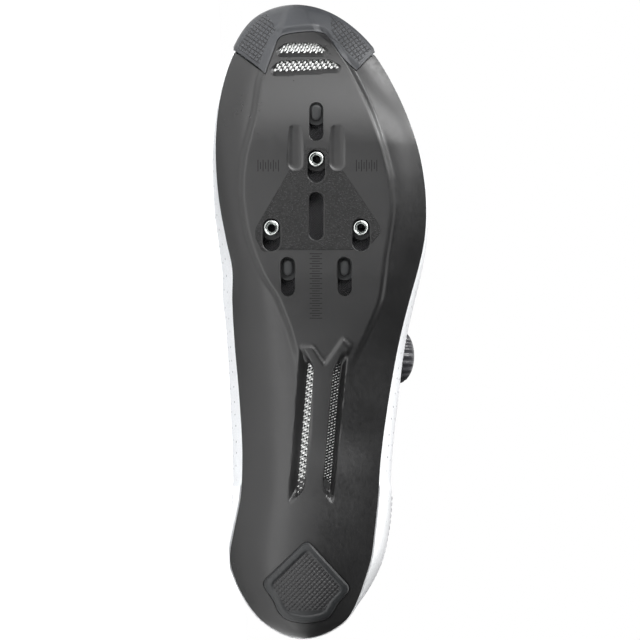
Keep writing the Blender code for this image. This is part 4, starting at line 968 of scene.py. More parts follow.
@dataclass
class Outsole:
    """The sole plate with its slots, pockets, dents and vents, and what is set into it."""

    stations: int = 420
    columns: tuple[int, ...] = (22, 8, 72, 8, 22)
    bolt_spread: float = 0.0414
    bolt_reach: float = 0.03175
    bolt_slot: tuple[float, float] = (0.0151, 0.0080)
    plain_slot: tuple[float, float] = (0.0180, 0.0065)
    centre_slot: tuple[float, float] = (0.0222, 0.0065)
    front_slot_at: float = 0.2400
    centre_slot_at: float = 0.1962
    rear_slots_at: float = 0.1682
    rear_slot_spread: float = 0.0262
    dent: tuple[float, float] = (0.0225, 0.0070)
    dent_at: float = 0.2286
    dent_spread: float = 0.0193
    dent_profile: Table = ((0.0018, -0.0008), (0.0001, 0.00005), (-0.0004, 0.0005), (-0.0010, 0.0008),
                           (-0.0026, 0.0008))
    dent_fade: float = 0.45
    pocket_width: float = 0.0135
    pocket_end: float = 0.0032
    slot_chamfer: float = 0.00035
    trench_depth: float = 0.0034
    vent_depth: float = 0.0022
    vent_chamfer: float = 0.0009
    toe_vents: tuple = (
        ((0.941, -0.135), (0.927, -0.171), (0.927, 0.062), (0.941, 0.014)),
        ((0.912, -0.160), (0.896, -0.198), (0.900, 0.127), (0.914, 0.081)),
    )
    shank_vents: tuple = (
        (
            ((0.458, -0.069), (0.458, -0.045), (0.426, 0.000), (0.237, -0.045), (0.212, -0.124)),
            ((0.436, -0.027), (0.433, -0.014), (0.423, -0.001), (0.239, -0.047), (0.229, -0.079)),
        ),
        (
            ((0.451, 0.161), (0.451, 0.133), (0.421, 0.089), (0.236, 0.040), (0.212, 0.092)),
            ((0.437, 0.126), (0.434, 0.110), (0.421, 0.091), (0.239, 0.043), (0.231, 0.076)),
        ),
    )
    yoke: tuple = (
        (0.461, -0.062), (0.462, -0.005), (0.434, 0.052), (0.475, 0.138), (0.462, 0.181), (0.434, 0.129),
        (0.330, 0.081), (0.236, 0.043), (0.236, -0.048), (0.330, -0.017), (0.434, -0.014),
    )
    yoke_rise: float = 0.0010
    strand_pitch: float = 0.00135
    strand_radius: float = 0.00046
    # painted shade: the outer trench's screen gets silver strands under half as wide as the inner one's, so
    # it reads darker for the shade it lies in
    silver_widths_lit_and_shaded: tuple[float, float] = (1.15, 0.5)

    def bolts(self) -> tuple[tuple[str, float, float], ...]:
        """Name, x and y of the three bolts."""
        half = self.bolt_spread / 2
        return (
            ("front", REAR_BOLTS_AT + self.bolt_reach, CLEAT_AXIS),
            ("inner", REAR_BOLTS_AT, CLEAT_AXIS - half),
            ("outer", REAR_BOLTS_AT, CLEAT_AXIS + half),
        )

    def plain_slots(self) -> tuple[tuple[str, float, float], ...]:
        """Name and centre of the three unused slots."""
        half = self.rear_slot_spread / 2
        return (
            ("front", self.front_slot_at, CLEAT_AXIS),
            ("inner", self.rear_slots_at, CLEAT_AXIS - half),
            ("outer", self.rear_slots_at, CLEAT_AXIS + half),
        )

    def slots(self) -> list[tuple[float, float, float, float, bool]]:
        """Centre, length and width of every slot, and whether a pocket lies over it."""
        run_back = -self.bolt_slot[0] / 2 + self.bolt_slot[1] / 2 + CLEARANCE
        out = [(x + run_back, y, *self.bolt_slot, True) for _, x, y in self.bolts()]
        out += [(x, y, *self.plain_slot, True) for _, x, y in self.plain_slots()]
        return out + [(self.centre_slot_at, CLEAT_AXIS, *self.centre_slot, False)]

    def underside(self) -> np.ndarray:
        """Sections at one x each, from the inner edge to the outer one, close together at the chamfers."""
        along = along_of(np.linspace(0, math.pi, self.stations + 1))
        outer, inner, raised_out, raised_in = section_sides(along)
        foot_in = np.maximum(raised_in - 0.0040, inner + 0.25 * (raised_in - inner))
        foot_out = np.minimum(raised_out + 0.0040, outer - 0.25 * (outer - raised_out))
        marks = (inner, foot_in, raised_in, raised_out, foot_out, outer)
        parts = [
            low[:, None] + (high - low)[:, None] * np.linspace(0, 1, count, endpoint=False)
            for low, high, count in zip(marks, marks[1:], self.columns)
        ]
        y = np.concatenate([*parts, outer[:, None]], axis=1)
        x = np.broadcast_to((LENGTH * along)[:, None], y.shape)
        return np.stack([x, y, sole_bottom(x, y) + self.dips(x, y)], axis=-1)

    def dips(self, x: np.ndarray, y: np.ndarray) -> np.ndarray:
        """Depth of each trench's walls from its mouth to its floor, less the yoke that stands between
        them."""
        step = depth_inside(rounded(in_shares(self.yoke), 0.0014, 3), x, y)
        deep = -self.yoke_rise * soft_step(step, -0.0009, 0.0010) * soft_step(x / LENGTH, 0.24, 0.42)
        for mouth, floor in self.shank_vents:
            within = np.maximum(depth_inside(rounded(in_shares(mouth), 0.0030, 4), x, y), 0)
            short = np.maximum(-depth_inside(rounded(in_shares(floor), 0.0008, 3), x, y), 0)
            share = within / np.maximum(within + short, 1e-9)
            deep = deep + self.trench_depth * (share + 0.15 * np.sin(math.pi * share) * share)
        return deep

    def side_band(self) -> np.ndarray:
        """The edge all round: up from the widest line, rounded over the rim and down to the bed."""
        turns = np.linspace(0, 2 * math.pi, 2 * self.stations + 1)
        base = edge_height(turns)
        steps = ((0, 0), (0, 0.5), (0, 3.3), (0.15, 3.9), (0.5, 4.2), (2.8, 4.2), (3.0, 4.0), (3.0, 2.7))
        lines = []
        for inset, rise in steps:
            x, y, _, _ = rim_offset(turns, inset / 1000)
            lines.append(np.stack([x, y, base + rise / 1000], axis=-1))
        return np.stack(lines)

    def bed(self) -> np.ndarray:
        """The dished top of the plate, between the rim's inner foot on both sides."""
        turns = np.linspace(0, math.pi, self.stations + 1)
        plan = between_rims(turns, RIM_WIDTH, 13)
        height = bed_height(plan[..., 0], plan[..., 1])
        for column, turn in ((0, 2 * math.pi - turns), (-1, turns)):
            height[:, column] = edge_height(turn) + RIM_BAND - BED_DROP
        return np.concatenate([plan, height[..., None]], axis=-1)

    def cutter(self, layers: Sequence[tuple[np.ndarray, float]]) -> bpy.types.Object:
        """A closed solid through plan loops at heights, all with as many points."""
        return self.sunk([level(plan, z) for plan, z in layers])

    def sunk(self, rows: Sequence[np.ndarray]) -> bpy.types.Object:
        """A closed solid through loops in space, all with as many points."""
        work = Patchwork()
        work.stack(rows)
        return work.make("cutter")

    def cutters(self) -> list[bpy.types.Object]:
        """Everything that is taken out of the plate; slots have a chamfered mouth."""
        chamfer, top = self.slot_chamfer, 0.05
        out = []
        for x, y, length, width, has_pocket in self.slots():
            mouth = stadium(x, y, length, width, chamfer + 0.0010)
            plan = stadium(x, y, length, width)
            out.append(self.cutter([(mouth, -0.0010), (plan, chamfer), (plan, top)]))
            if has_pocket:
                pocket = stadium(x, y, length + 2 * self.pocket_end, self.pocket_width, steps=8)
                out.append(self.cutter([(pocket, POCKET_FLOOR), (pocket, top)]))
        for side in (-1, 1):
            y = CLEAT_AXIS + side * self.dent_spread / 2
            bowl = []
            for grow, z in self.dent_profile:
                plan = stadium(self.dent_at, y, *self.dent, grow)
                ahead = np.clip((plan[:, 0] - self.dent_at) / self.dent[0] + 0.5, 0, 1)
                bowl.append(level(plan, z if z < 0 else z * (self.dent_fade + (1 - self.dent_fade) * ahead)))
            out.append(self.sunk(bowl))
        for corners in self.toe_vents:
            plan = rounded(in_shares(corners), 0.0022)
            wide = widened(plan, self.vent_chamfer + 0.0020)
            out.append(self.cutter([(wide, self.low(plan) - 0.0020),
                                    (plan, self.low(plan) + self.vent_chamfer),
                                    (plan, top)]))
        for _, floor in self.shank_vents:
            through = rounded(in_shares(floor), 0.0008, 3)
            out.append(self.cutter([(through, self.low(through) + 0.0005), (through, top)]))
        return out

    def low(self, plan: np.ndarray) -> float:
        """Height of the smooth underside at the middle of a plan loop."""
        middle = plan.mean(axis=0)
        return float(sole_bottom(middle[0], middle[1]))

    def strands(self, work: Patchwork, corners: np.ndarray, depth: float, silver: float = 1.15) -> None:
        """Plain weave over a vent: strands rise and fall as a cosine, one way for each neighbour.

        Silver strands slant across the vent and black ones run along its longer way.

        Args:
            work: the mesh to add to.
            corners: plan points of the vent.
            depth: distance of the weave inside the sole's underside.
            silver: width of the silver strands as a share of the usual one.
        """
        low, high = corners.min(axis=0) - 0.0012, corners.max(axis=0) + 0.0012
        span = high - low
        lengthwise = int(span[1] > span[0])
        pitch, lean = self.strand_pitch, 0.45
        middle = (low + high) / 2
        slope = np.zeros(2)
        if not lengthwise:
            halves = [corners[corners[:, 0] > middle[0]].mean(axis=0),
                      corners[corners[:, 0] <= middle[0]].mean(axis=0)]
            slope = (halves[0] - halves[1]) / (halves[0][0] - halves[1][0])
            middle[1] = halves[0][1] + slope[1] * (middle[0] - halves[0][0])
        long, short = span[lengthwise], min(span[1 - lengthwise], 0.0085)
        for way, length, width in ((0, long, short), (1, short, long)):
            count = int(width / pitch)
            s = np.linspace(-length / 2, length / 2, int(length / pitch * 4) + 1)
            lanes = (np.arange(count) - (count - 1) / 2) * pitch
            a, b = np.meshgrid(s, lanes, indexing="xy")
            wave = np.cos(math.pi * (a / pitch)) * np.where(np.arange(count) % 2, 1.0, -1.0)[:, None]
            bob = self.strand_radius * 0.9 * wave * (1 if way else -1)
            u, v = (a, b) if way == 0 else (b, a)
            u = u + lean * v
            plan = np.zeros((*u.shape, 3))
            plan[..., lengthwise], plan[...,
                                        1 - lengthwise] = middle[lengthwise] + u, middle[1 - lengthwise] + v
            if not lengthwise:
                plan[..., 1] += slope[1] * u
            plan[..., 2] = sole_bottom(plan[..., 0], plan[..., 1]) + depth + bob
            for lane in plan:
                out = np.tile((0.0, 0.0, 1.0), (len(lane), 1))
                tube(work, lane, self.strand_radius * (silver if way else 0.8), out, 5, slot=1 - way)

    def build(self) -> None:
        """Makes the plate and everything set into it."""
        work = Patchwork(SOLE)
        for patch in (self.underside(), self.side_band(), self.bed()):
            work.grid(patch)
        plate = work.make("sole_plate", merge=2e-6)
        tools = [*self.cutters(), Bumper().seat_cutter(), HeelPad().seat_cutter()]
        group = bpy.data.collections.new("cutters")
        for tool in tools:
            group.objects.link(tool)
        hollow = plate.modifiers.new("cuts", "BOOLEAN")
        hollow.operation, hollow.solver, hollow.operand_type = "DIFFERENCE", "EXACT", "COLLECTION"
        hollow.collection = group
        applied(plate, 30)
        for tool in tools:
            bpy.data.objects.remove(tool)
        bpy.data.collections.remove(group)
        dressed(plate, "sole_plate", "outsole")
        screens = Patchwork(SILVER, BLACK)
        for corners in self.toe_vents:
            self.strands(screens, in_shares(corners), self.vent_depth)
        # the outer trench's thinner silver strands are painted shade
        for (_, floor), silver in zip(self.shank_vents, self.silver_widths_lit_and_shaded):
            self.strands(screens, in_shares(floor), self.trench_depth + 0.0007, silver)
        dressed(screens.make("vent_screens"), "sole_plate")
        self.marks()
        self.grip()

    def marks(self) -> None:
        """Generic adjustment scales beside the front bolt and behind the centre slot: thin sunk bars,
        coloured dark as painted shade.
        """
        bars = []
        for side, start in ((-1, 0.0175), (1, 0.0185)):
            for k in range(9):
                length = 0.0054 if k % 2 == 0 else 0.0032
                bars.append((0.2195, CLEAT_AXIS + side * (start + k * 0.00118), length, 0.00034))
        for k in range(27):
            width = 0.0058 if k % 2 == 0 else 0.0036
            bars.append((0.1788 - k * 0.001145, CLEAT_AXIS - 0.0002, 0.00034, width))
        work = Patchwork(ENGRAVED_SHADE)
        for x, y, length, width in bars:
            plan = np.array([(-1, -1), (1, -1), (1, 1), (-1, 1), (-1, -1)]) * (length / 2, width / 2) + (x, y)
            rows = [under_sole(plan, depth) for depth in (0.0003, -0.00004)]
            index = work.grid(np.stack(rows))
            for row in index:
                work.cap(row[:4])
        dressed(work.make("adjustment_scales"), "sole_plate")

    def grip(self) -> None:
        """Sanded sheet round the bolts, 0.25 mm proud, cut back from every slot."""
        corners = ((0.2277, -0.0045), (0.2277, 0.0058), (0.2168, 0.0137), (0.1926, 0.0300), (0.1890, 0.0312),
                   (0.1829, 0.0262), (0.1806, 0.0180), (0.1806, -0.0153), (0.1796, -0.0238),
                   (0.1862, -0.0270),
                   (0.1902, -0.0272), (0.2168, -0.0118))
        plan = rounded(corners, 0.0016, 4)
        sheet = self.cutter([(plan, 0.0006), (plan, -0.0002), (widened(plan, -0.0002), -0.00028)])
        sheet.name = sheet.data.name = "grip_patch"
        sheet.data.materials.append(GRIP.material())
        tools = [
            self.cutter([(stadium(x, y, length, width, 0.0007), z) for z in (-0.002, 0.002)])
            for x, y, length, width, _ in self.slots()
        ]
        for side in (-1, 1):
            plan = stadium(self.dent_at, CLEAT_AXIS + side * self.dent_spread / 2, *self.dent, 0.0006)
            tools.append(self.cutter([(plan, -0.002), (plan, 0.002)]))
        for tool in tools:
            hollow = sheet.modifiers.new("cut", "BOOLEAN")
            hollow.operation, hollow.solver, hollow.object = "DIFFERENCE", "EXACT", tool
        applied(sheet)
        for tool in tools:
            bpy.data.objects.remove(tool)
        dressed(sheet, "sole_plate")


@dataclass
class Bumper:
    """Rubber horseshoe that wraps the toe from the rim down and under the sole's front."""

    thick: float = 0.0024
    legs: tuple[float, float] = (0.926, 0.930)
    inside: Table = (
        # turn, along, side
        (0.00, 0.897, 0.203),
        (0.16, 0.919, 0.134),
        (0.30, 0.944, 0.086),
        (0.40, 0.957, 0.050),
        (0.50, 0.960, -0.010),
        (0.62, 0.957, -0.110),
        (0.72, 0.950, -0.166),
        (0.84, 0.928, -0.193),
        (1.00, 0.892, -0.231),
    )
    leg_share: float = 0.30

    def face(self, share: np.ndarray, t: np.ndarray, lift: np.ndarray, grow: float) -> np.ndarray:
        """One face of the horseshoe: t runs from the sole's edge at 0 to the inner border at 1.

        Args:
            share: places round it, from the outer leg to the inner one.
            t: places across it.
            lift: distance from the sole, rows of t by columns of share.
            grow: how much larger it is in plan.

        Returns:
            Points as t by share by 3, with two rows up the sole's side first.
        """
        outer_turn, inner_turn = turn_of(self.legs[0]), 2 * math.pi - turn_of(self.legs[1])
        spare = grow / 0.05
        turns = outer_turn - spare + share * (inner_turn - outer_turn + 2 * spare)
        x, y, out_x, out_y = rim_offset(turns, 0.0)
        edge = edge_height(turns)
        start = np.stack([x, y], axis=-1)
        ends = np.stack([LENGTH * read(self.inside, 1, share), BALL_WIDTH * read(self.inside, 2, share)],
                        axis=-1)
        ends = ends + grow * unit(ends - start)
        ends[0] += 1.5 * grow * unit(ends[0] - ends[1])
        ends[-1] += 1.5 * grow * unit(ends[-1] - ends[-2])
        plan = start + t[:, None, None] * (ends - start)
        px, py = plan[..., 0], plan[..., 1]
        step = 4e-4
        slope_x = (sole_bottom(px + step, py) - sole_bottom(px - step, py)) / (2 * step)
        slope_y = (sole_bottom(px, py + step) - sole_bottom(px, py - step)) / (2 * step)
        down = unit(np.stack([slope_x, slope_y, -np.ones(px.shape)], axis=-1))
        down[..., :2] += (1 - t[:, None, None]) ** 8 * np.stack([out_x, out_y], axis=-1)
        under = np.concatenate([plan, sole_bottom(px, py)[..., None]], axis=-1) + lift[..., None] * unit(down)
        top = edge + RIM_BAND + (-CLEARANCE if grow == 0 else 0.001)
        rows = []
        for rise in (0.0, 0.35, 0.7, 1.0):
            z = top + (edge - top) * rise
            rows.append(np.stack([x + lift[0] * out_x, y + lift[0] * out_y, z], axis=-1))
        return np.concatenate([np.stack(rows), under])

    def solid(self, work: Patchwork, across: int, around: int, grow: float, slots: bool) -> None:
        """Adds the horseshoe: its outer and its seated face, joined all round."""
        share, t = np.linspace(0, 1, around + 1), np.linspace(0.04, 1, across + 1)
        ends = np.minimum(share, 1 - share)[None, :] * 3.2
        bevel = np.maximum(0.0016 * (1 - soft_step(1 - t[:, None], 0.0, 0.22)),
                           0.0006 * (1 - soft_step(ends, 0.0, 0.06)))
        bevel = bevel * (grow == 0)
        far = self.face(share, t, self.thick - SEAT + grow - bevel, grow)
        near = self.face(share, t, np.full(bevel.shape, -SEAT - grow), grow)
        slot: int | np.ndarray = 0
        if slots:
            field = (np.abs(2 * share - 1) > 1 - 2 * self.leg_share)[None, :-1]
            inside = ((t > 0.10) & (t < 0.78))[:-1, None] & ((share > 0.015) & (share < 0.985))[None, :-1]
            slot = np.concatenate([np.zeros((4, around), int), (field & inside).astype(int)])
        along = unit((in_shares([(0.90, 0.26)]) - in_shares([(0.96, 0.13)]))[0])
        mirrored = np.where(share < 0.5, 1.0, -1.0)[None, :]
        plan = far[..., :2] * np.stack([np.ones_like(mirrored), mirrored], axis=-1)
        uv = np.stack([plan @ along, plan @ np.array([-along[1], along[0]])], axis=-1)
        work.grid(far, uv, slot)
        work.grid(near)
        work.hem(far, near)

    def seat_cutter(self) -> bpy.types.Object:
        """The horseshoe grown by its clearance, which cuts its own seat in the sole."""
        work = Patchwork()
        self.solid(work, 12, 48, 1.5 * CLEARANCE, False)
        return work.make("cutter", merge=1e-5)

    def build(self) -> None:
        """Makes the horseshoe with its knurled legs."""
        work = Patchwork(RUBBER, KNURL)
        self.solid(work, 64, 200, 0.0, True)
        dressed(work.make("toe_bumper_rubber", merge=1e-5), "toe_rubber", "toe_bumper")


@dataclass
class HeelPad:
    """Rubber shield under the heel, with a scaled field inside a plain raised border."""

    thick: float = 0.0036
    corner: float = 0.0035
    border: float = 0.80
    middle: tuple[float, float] = (0.082, -0.035)
    field_from: float = 0.048
    corners: tuple = (
        (0.158, -0.033), (0.089, -0.250), (0.062, -0.190), (0.045, -0.172), (0.031, -0.132),
        (0.026, -0.033), (0.032, 0.064), (0.043, 0.090), (0.060, 0.117), (0.080, 0.180),
    )

    def rings(self, shares: np.ndarray, lift: np.ndarray, floor: float, grow: float,
              steps: int) -> np.ndarray:
        """Loops of the shield from its middle outwards, following the sole at a distance from it."""
        plan = rounded(in_shares(self.corners), self.corner, steps)
        centre = in_shares(self.middle)
        away = plan - centre
        away = away * (1 + grow / np.linalg.norm(away, axis=1))[:, None]
        away = np.concatenate([away, away[:1]])
        place = centre + shares[:, None, None] * away
        z = np.maximum(sole_bottom(place[..., 0], place[..., 1]) - lift[:, None], floor)
        return np.concatenate([place, z[..., None]], axis=-1)

    def seat_cutter(self) -> bpy.types.Object:
        """The shield grown by its clearance, which cuts its own seat in the sole."""
        grow = 1.5 * CLEARANCE
        work = Patchwork()
        shares = np.array([0.0, 0.5, 1.0])
        below = self.rings(shares, np.full(3, self.thick - SEAT + grow), -grow, grow, 3)
        above = self.rings(shares, np.full(3, -SEAT - grow), -1.0, grow, 3)
        work.grid(below)
        work.grid(above)
        work.grid(np.stack([below[-1], above[-1]]))
        return work.make("cutter")

    def build(self) -> None:
        """Makes the shield."""
        shares = np.concatenate([np.linspace(0, self.border - 0.02, 24), np.linspace(self.border, 0.97, 6),
                                 [0.985, 0.995, 1.0]])
        sunk = 0.0006 * (1 - soft_step(shares, self.border - 0.03, self.border + 0.03))
        bevel = 0.0009 * soft_step(shares, 0.95, 1.0) ** 2
        below = self.rings(shares, self.thick - SEAT - sunk - bevel, 0.0, 0.0, 5)
        below[..., 2] += (sunk + bevel)[:, None] * (below[..., 2] <= 0.0)
        above = self.rings(shares, np.full(len(shares), -SEAT), -1.0, 0.0, 5)
        work = Patchwork(PAD, SCALES)
        forward = below[:-1, :-1, 0] > LENGTH * self.field_from
        field = forward & (shares[:-1, None] < self.border - 0.03)
        work.grid(below, None, field.astype(int))
        work.grid(above)
        work.grid(np.stack([below[-1], above[-1]]))
        dressed(work.make("heel_pad_rubber"), "heel_rubber", "heel_pad")


@dataclass
class CleatHardware:
    """Three threaded steel nuts in the bolt slots and three blanks in the unused ones."""

    hole: float = 0.0020
    barrel: float = 0.0035
    face: float = 0.0008
    flange: float = 0.0056
    flange_thick: float = 0.0014
    flange_shade_rows: int = 3
    thread: float = 0.0008
    blank: tuple[float, float] = (0.0072, 0.0045)
    blank_face: float = 0.0028
    blank_gap: float = 0.0012
    slot_length: float = 0.0180

    def nut(self, name: str, x: float, y: float) -> None:
        """A T-nut: barrel, flange and a bore whose radius rises and falls along its thread; the flange is
        coloured near black as painted shade.
        """
        base, top = POCKET_FLOOR + CLEARANCE, POCKET_FLOOR + CLEARANCE + self.flange_thick
        steps = int((top - self.face) / self.thread * 6)
        profile = [
            (self.flange, top), (self.flange, base + 0.0002), (self.flange - 0.0002, base),
            (self.barrel, base),
            (self.barrel, self.face + 0.0005), (self.barrel - 0.00015, self.face + 0.00015),
            (self.barrel - 0.0005, self.face), (self.hole + 0.0009, self.face + 0.00005),
            (self.hole + 0.0005, self.face + 0.0004), (self.hole, self.face + 0.0010),
        ]
        heights = np.linspace(self.face + 0.0011, top, steps)
        radii = self.hole + 0.00012 * np.cos(2 * math.pi * heights / self.thread)
        profile += list(zip(radii.tolist(), heights.tolist())) + [(self.flange, top)]
        work = Patchwork(STEEL, FLANGE_SHADE)
        # painted shade: the flange's first profile rows take the near-black finish
        dark = np.zeros(len(profile) - 1, int)
        dark[:self.flange_shade_rows] = 1
        turned(work, profile, 48, (np.eye(3), np.array([x, y, 0.0])), dark)
        dressed(work.make(f"nut_{name}", 35), "nut_steel", f"cleat_nut_{name}")

    def plug(self, name: str, x: float, y: float) -> None:
        """A dark blank with a rounded face and a flange in the pocket."""
        length, width = self.blank
        x = x + (self.slot_length - length) / 2 - self.blank_gap
        base = POCKET_FLOOR + CLEARANCE
        face = self.blank_face
        layers = ((-0.0012, face - 0.0001), (-0.0005, face), (-0.0001, face + 0.0002), (0.0, face + 0.0006),
                  (0.0, base),
                  (0.0022, base), (0.0022, base + self.flange_thick))
        work = Patchwork(BLANK)
        work.stack([level(stadium(x, y, length, width, grow), z) for grow, z in layers])
        dressed(work.make(f"blank_{name}"), "blank_plastic", f"slot_blank_{name}")

    def build(self, sole: Outsole) -> None:
        """Makes the nuts and the blanks."""
        for place in sole.bolts():
            self.nut(*place)
        for place in sole.plain_slots():
            self.plug(*place)


@dataclass
class Upper:
    """The white shell with its overlays and stitches, its bound top line and its padded collar."""

    around: int = 400
    tall: int = 84
    shell: float = 0.0018
    pad_end: float = 0.40
    pad_thick: float = 0.0036
    pad_low: float = 0.50
    pad_high: float = 0.985
    stitch: float = 0.0021
    stitch_gap: float = 0.0031

    def surface_map(self, turn: np.ndarray, up: np.ndarray) -> np.ndarray:
        """UVs in metres: length round the shoe at mid-height, and length up each rib."""
        middle = rib(turn[0], 0.5)
        run = run_along(middle)
        height = np.linalg.norm(rib(turn[0], 1.0) - rib(turn[0], 0.0), axis=-1)
        return np.stack([np.broadcast_to(run, turn.shape), up * height], axis=-1)

    def make_shell(self) -> None:
        """The outer face given a wall inwards, with overlays in a smoother finish and lining inside."""
        turn, up = np.meshgrid(np.linspace(0, 2 * math.pi, self.around + 1), np.linspace(0, 1, self.tall + 1))
        share = from_heel(turn)
        points = skin(turn, up)
        proud = (overlay(turn, up) > 0.5 * OVERLAY)[:-1, :-1].astype(int)
        work = Patchwork(HIDE, SATIN, LINING)
        work.grid(points, self.surface_map(turn, up), proud)
        shell = work.make("upper_shell", 50, closed=False, merge=2e-6)
        if Vector(TURN @ (-1, 0, 0)).dot(shell.data.polygons[0].normal) < 0:
            shell.data.flip_normals()
        field = soft_step(up, 0.07, 0.10) * (1 - soft_step(up, 0.70, 0.73)) * soft_step(share, 0.255, 0.262)
        field *= 1 - soft_step(share, 0.93, 0.94)
        values = field[:, :-1].reshape(-1)
        layer = shell.data.attributes.new("holes", "FLOAT", "POINT")
        if len(layer.data) == len(values):
            layer.data.foreach_set("value", values.astype(np.float32))
        solid = shell.modifiers.new("wall", "SOLIDIFY")
        solid.thickness, solid.offset, solid.material_offset = self.shell, -1, 2
        solid.use_even_offset = False
        applied(shell, 50)
        dressed(shell, "upper_shell", "upper")

    def make_binding(self) -> None:
        """Soft tape rolled over the top line, thicker round the collar than along the throat."""
        turn = np.linspace(0, 2 * math.pi, 481)[:-1]
        share = from_heel(turn)
        radius = 0.0013 + 0.0009 * (1 - soft_step(share, 0.36, 0.46))
        inset = self.shell / 2 + 0.0008 * (1 - soft_step(share, 0.36, 0.46))
        path = skin(turn, np.full_like(turn, 1.0), -inset)
        work = Patchwork(BINDING)
        tube(work, path, radius, rib_normal(turn, np.full_like(turn, 0.99)), 14, closed=True, flat=0.9)
        dressed(work.make("top_binding"), "upper_shell")

    def make_collar(self) -> None:
        """Padded collar inside the shell: two puffed rolls that pinch at their seams, heel grip between."""
        end = float(turn_of(self.pad_end))
        turn = np.linspace(-end, end, 241)
        up = np.linspace(self.pad_low, self.pad_high, 49)
        turn, up = np.meshgrid(turn, up)
        climb = (up - self.pad_low) / (self.pad_high - self.pad_low)
        rolls = np.abs(np.sin(math.pi * climb * 2)) ** 0.55
        ends = np.sqrt(np.clip(1 - (turn / end) ** 8, 0, 1))
        quilt = 0.9 + 0.1 * np.abs(np.sin(turn * 5.5)) ** 0.5
        puff = (0.30 + 0.70 * rolls * quilt) * ends * np.clip(np.sin(math.pi * np.clip(climb, 0.02,
                                                                                       0.98)) * 3, 0, 1)
        outer = skin(turn, up, -self.shell - 0.0001)
        inner = skin(turn, up, -self.shell - 0.0004 - self.pad_thick * puff)
        uv = self.surface_map(turn, up)
        grip = ((np.abs(turn) < 0.75) & (climb < 0.55))[:-1, :-1].astype(int)
        work = Patchwork(LINING, GRIPPER)
        work.grid(inner, uv, grip)
        work.grid(outer, uv)
        work.hem(inner, outer)
        collar = work.make("collar_padding", 70)
        dressed(collar, "upper_shell")

    def make_stitches(self) -> None:
        """Rows of thread: short capsules that sink into the shell at both ends."""
        rows = []
        for side in (1, -1):
            eyestay = np.linspace(turn_of(0.445), math.pi, 400)
            rows += [(side * eyestay, np.full(400, 0.812)), (side * eyestay, np.full(400, 0.965))]
            rows.append((side * np.full(80, turn_of(0.440)), np.linspace(0.81, 0.96, 80)))
            counter = np.linspace(0, turn_of(0.232), 300)
            seam = COUNTER_TOP - 0.025 - COUNTER_FALL * (from_heel(counter) / COUNTER_END) ** 4
            rows.append((side * counter, seam))
            rows.append((side * np.linspace(0, turn_of(0.42), 300), np.full(300, 0.945)))
        work = Patchwork(THREAD)
        for turn, up in rows:
            line = skin(turn, up, 0.0001)
            out = rib_normal(turn, up)
            gap = run_along(line)
            starts = np.arange(0.001, gap[-1] - self.stitch, self.stitch_gap)
            step = np.linspace(0, 1, 5)
            at = starts[:, None] + step * self.stitch
            path = np.stack([np.interp(at, gap, line[:, k]) for k in range(3)], axis=-1)
            normal = unit(np.stack([np.interp(at, gap, out[:, k]) for k in range(3)], axis=-1))
            path += normal * (0.00022 * np.sin(math.pi * step) - 0.00012)[None, :, None]
            for k in range(len(starts)):
                tube(work, path[k], 0.00026, normal[k], 6)
        dressed(work.make("stitches"), "upper_shell")

    def build(self) -> None:
        """Makes the upper's pieces."""
        self.make_shell()
        self.make_binding()
        self.make_collar()
        self.make_stitches()


